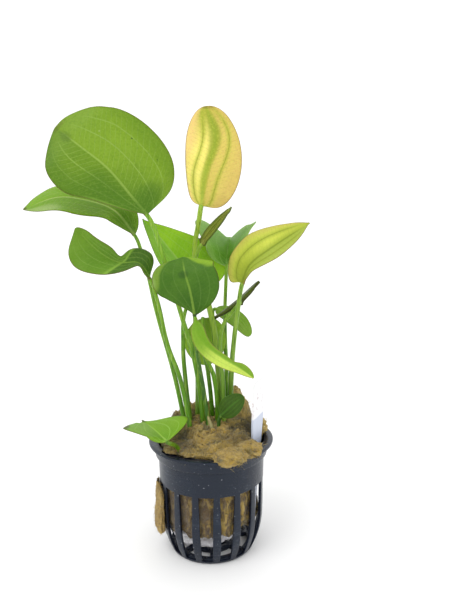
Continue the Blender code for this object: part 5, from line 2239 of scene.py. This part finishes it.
@dataclass(frozen=True)
class TagFinish:
    """White plastic sheet with a painted grey-blue shadow over its lower part and a few faint smudges."""

    colour: Colour = (0.86, 0.86, 0.87, 1.0)
    # Grey-blue of the painted shadow over the tag's lower part
    foot: Colour = (0.53, 0.58, 0.70, 1.0)
    smudge: Colour = (214, 190, 190)
    # Height up to which the painted shadow reaches
    shadow_top: float = 62.0
    smudge_bottom: float = 62.0
    smudge_top: float = 76.0
    smudge_fade: float = 3.0

    def material(self, name: str) -> Material:
        """Builds the tag's material.

        Args:
            name: Name of the material.

        Returns:
            The material.
        """
        made = Finish(name)
        height = made.axis(2)
        # Wavy top edge of the painted shadow
        shadow_edge = height + (made.mottle(8.0) - 0.5) * 2.0
        smudge = made.mottle(1.8, 3.0, 0.5).step(0.58, 0.7)
        smudge = smudge * height.step(self.smudge_bottom, self.smudge_bottom + self.smudge_fade)
        smudge = smudge * height.step(self.smudge_top, self.smudge_top - self.smudge_fade)
        colour = made.layered(
            made.mix(shadow_edge.step(self.shadow_top + 0.5, self.shadow_top - 0.5), self.colour, self.foot),
            (smudge * 0.7, self.smudge),
        )
        return made.finish(colour, made.mottle(3.0) * 0.1 + 0.3, made.bump(made.mottle(1.2), 0.02), 0.5)


@dataclass
class Tag:
    """Plant tag: a thin sheet with a pointed foot, stood in the wool."""

    thickness: float = 0.8
    half_width: float = 6.0
    top: float = 78.0
    shoulder: float = 60.0
    point: float = 9.0
    point_half_width: float = 1.0
    place: Place = (20.8, -8.15)
    lean: float = 3.4
    turn: float = math.radians(64.0)
    outer_room: float = 4.0
    corner: float = 1.0
    corner_steps: int = 5

    def outline(self, grow: float) -> list[tuple[float, float]]:
        """Outline of the sheet, with rounded upper corners.

        Args:
            grow: Clearance on all sides.

        Returns:
            Reach and height of each corner.
        """
        wide = self.half_width + grow
        tip = self.point_half_width + grow
        top = self.top + grow
        found = [(-tip, self.point - grow), (tip, self.point - grow), (wide, self.shoulder)]
        bends = [math.pi / 2 * step / self.corner_steps for step in range(self.corner_steps + 1)]
        for side, arc in ((1, bends), (-1, bends[::-1])):
            for bend in arc:
                reach = wide - self.corner + self.corner * math.cos(bend)
                found.append((side * reach, top - self.corner + self.corner * math.sin(bend)))
        found.append((-wide, self.shoulder))
        return found

    def sheet(self, name: str, grow: float = 0.0, outer_room: float = 0.0) -> Mesh:
        """Builds the sheet.

        Args:
            name: Name of the mesh.
            grow: Clearance on all sides.
            outer_room: Further room on its outer side.

        Returns:
            The mesh.
        """
        along = Vector((math.cos(self.turn), math.sin(self.turn), 0.0))
        through = Vector((math.sin(self.turn), -math.cos(self.turn), 0.0))
        middle = Vector((self.place[0], self.place[1], 0.0))
        half = self.thickness / 2 + grow
        outline = self.outline(grow)
        points = []
        for side in (-half, half + outer_room):
            for reach, height in outline:
                lean = self.lean * (self.top - height) / (self.top - self.point)
                place = middle + along * reach + through * (side - lean)
                points.append(Vector((place.x, place.y, height)))
        count = len(outline)
        faces: list = [tuple(range(count)), tuple(range(count, 2 * count))]
        afters = [(index + 1) % count for index in range(count)]
        faces += [(index, after, count + after, count + index) for index, after in enumerate(afters)]
        return mesh_of(name, points, faces)

    def build(self) -> None:
        """Builds and dresses the tag."""
        look = TagFinish().material("white_sheet")
        settle(add_piece("plant_label", self.sheet("plant_label"), look, smooth=False), "plant_tag")


@dataclass
class Sheath:
    """Dry leaf sheath among the feet of the stems."""

    form: Leaf = field(
        default_factory=lambda: Leaf(
            midrib=[(0.9, -9, 54), (0.2, -9.2, 58), (-1.3, -9.6, 62.8)],
            faces=[(0, -1, 0.1), (0, -1, 0.1)],
            left=Half(0.9, 0.4, 0.3, 10),
            right=Half(0.9, 0.4, 0.3, 10),
            stem=[],
            finish=LeafFinish(
                body=(186, 180, 120), pale=(206, 202, 150), dark=(150, 150, 92), margin=(190, 186, 130),
                tip=(170, 160, 110), vein=(160, 150, 100), midrib=(196, 192, 140), rim=(140, 130, 90),
                underside=(190, 184, 130), roughness=0.75,
            ),
            thickness=0.4,
            ripple=0.3,
        )
    )

    def build(self) -> None:
        """Builds and dresses the sheath."""
        mesh = self.form.lamina("dry_sheath")
        settle(add_piece("dry_sheath", mesh, self.form.finish.material("dry_sheath")), "old_sheath")


@dataclass
class Studio:
    """Camera, floor, sky and lights."""

    eye: Place = (0.8, -243.0, 149.0)
    pitch: float = math.radians(8.6)
    yaw: float = math.radians(2.4)
    roll: float = math.radians(-0.34)
    focal_pixels: float = 571.0
    picture_height: float = 596.0
    sensor: float = 36.0
    white: Colour = (1.0, 1.0, 1.0, 1.0)
    ground: Colour = (0.93, 0.93, 0.93, 1.0)
    sky_strength: float = 1.16
    sun_strength: float = 0.75
    sun_way: Place = (-0.6, -0.55, 1.0)
    sun_width: float = math.radians(35.0)
    floor_metres: float = 6.0

    def camera(self) -> None:
        """Sets the camera where the photograph was taken."""
        level = math.cos(self.pitch)
        ahead = (math.sin(self.yaw) * level, math.cos(self.yaw) * level, -math.sin(self.pitch))
        forward = Vector(ahead)
        aside = Vector((math.cos(self.yaw), -math.sin(self.yaw), 0.0))
        above = aside.cross(forward)
        right = aside * math.cos(self.roll) + above * math.sin(self.roll)
        up = above * math.cos(self.roll) - aside * math.sin(self.roll)
        data = bpy.data.cameras.new("camera")
        data.sensor_fit = "VERTICAL"
        data.sensor_height = self.sensor
        data.lens = self.sensor * self.focal_pixels / self.picture_height
        data.clip_start = 0.01
        item = placed("camera", data)
        turned = Matrix((right, up, -forward)).transposed().to_4x4()
        turned.translation = Vector(self.eye) * MM
        item.matrix_world = turned
        bpy.context.scene.camera = item

    def sun(self) -> None:
        """Adds a wide soft light from one side."""
        data = bpy.data.lights.new("soft_light", "SUN")
        data.energy = self.sun_strength
        data.angle = self.sun_width
        item = placed("soft_light", data)
        item.rotation_euler = (-Vector(self.sun_way)).to_track_quat("-Z", "Y").to_euler()

    def sky(self) -> None:
        """Sets an even white surrounding."""
        world = bpy.data.worlds.new("studio")
        bpy.context.scene.world = world
        world.use_nodes = True
        backdrop = world.node_tree.nodes["Background"]
        backdrop.inputs["Color"].default_value = self.white
        backdrop.inputs["Strength"].default_value = self.sky_strength

    def floor(self) -> None:
        """Adds the plain pale floor."""
        made = bmesh.new()
        bmesh.ops.create_grid(made, x_segments=1, y_segments=1, size=self.floor_metres)
        look = Finish("studio_floor").finish(self.ground, 0.9, None, 0.5)
        add_piece("studio_floor", mesh_from(made, "studio_floor"), look, smooth=False)

    def build(self) -> None:
        """Builds the studio."""
        self.camera()
        self.sky()
        self.floor()
        self.sun()
        bpy.context.scene.view_settings.view_transform = "Standard"


def main() -> None:
    """Builds the dressed plant."""
    logging.basicConfig(level=logging.INFO, format="%(message)s")
    Studio().build()
    pot = Pot()
    pot.build()
    tag = Tag()
    Wool(pot).build(tag)
    tag.build()
    Sheath().build()
    for name, leaf in PLANT.items():
        leaf.build(name)


if __name__ == "__main__":
    main()
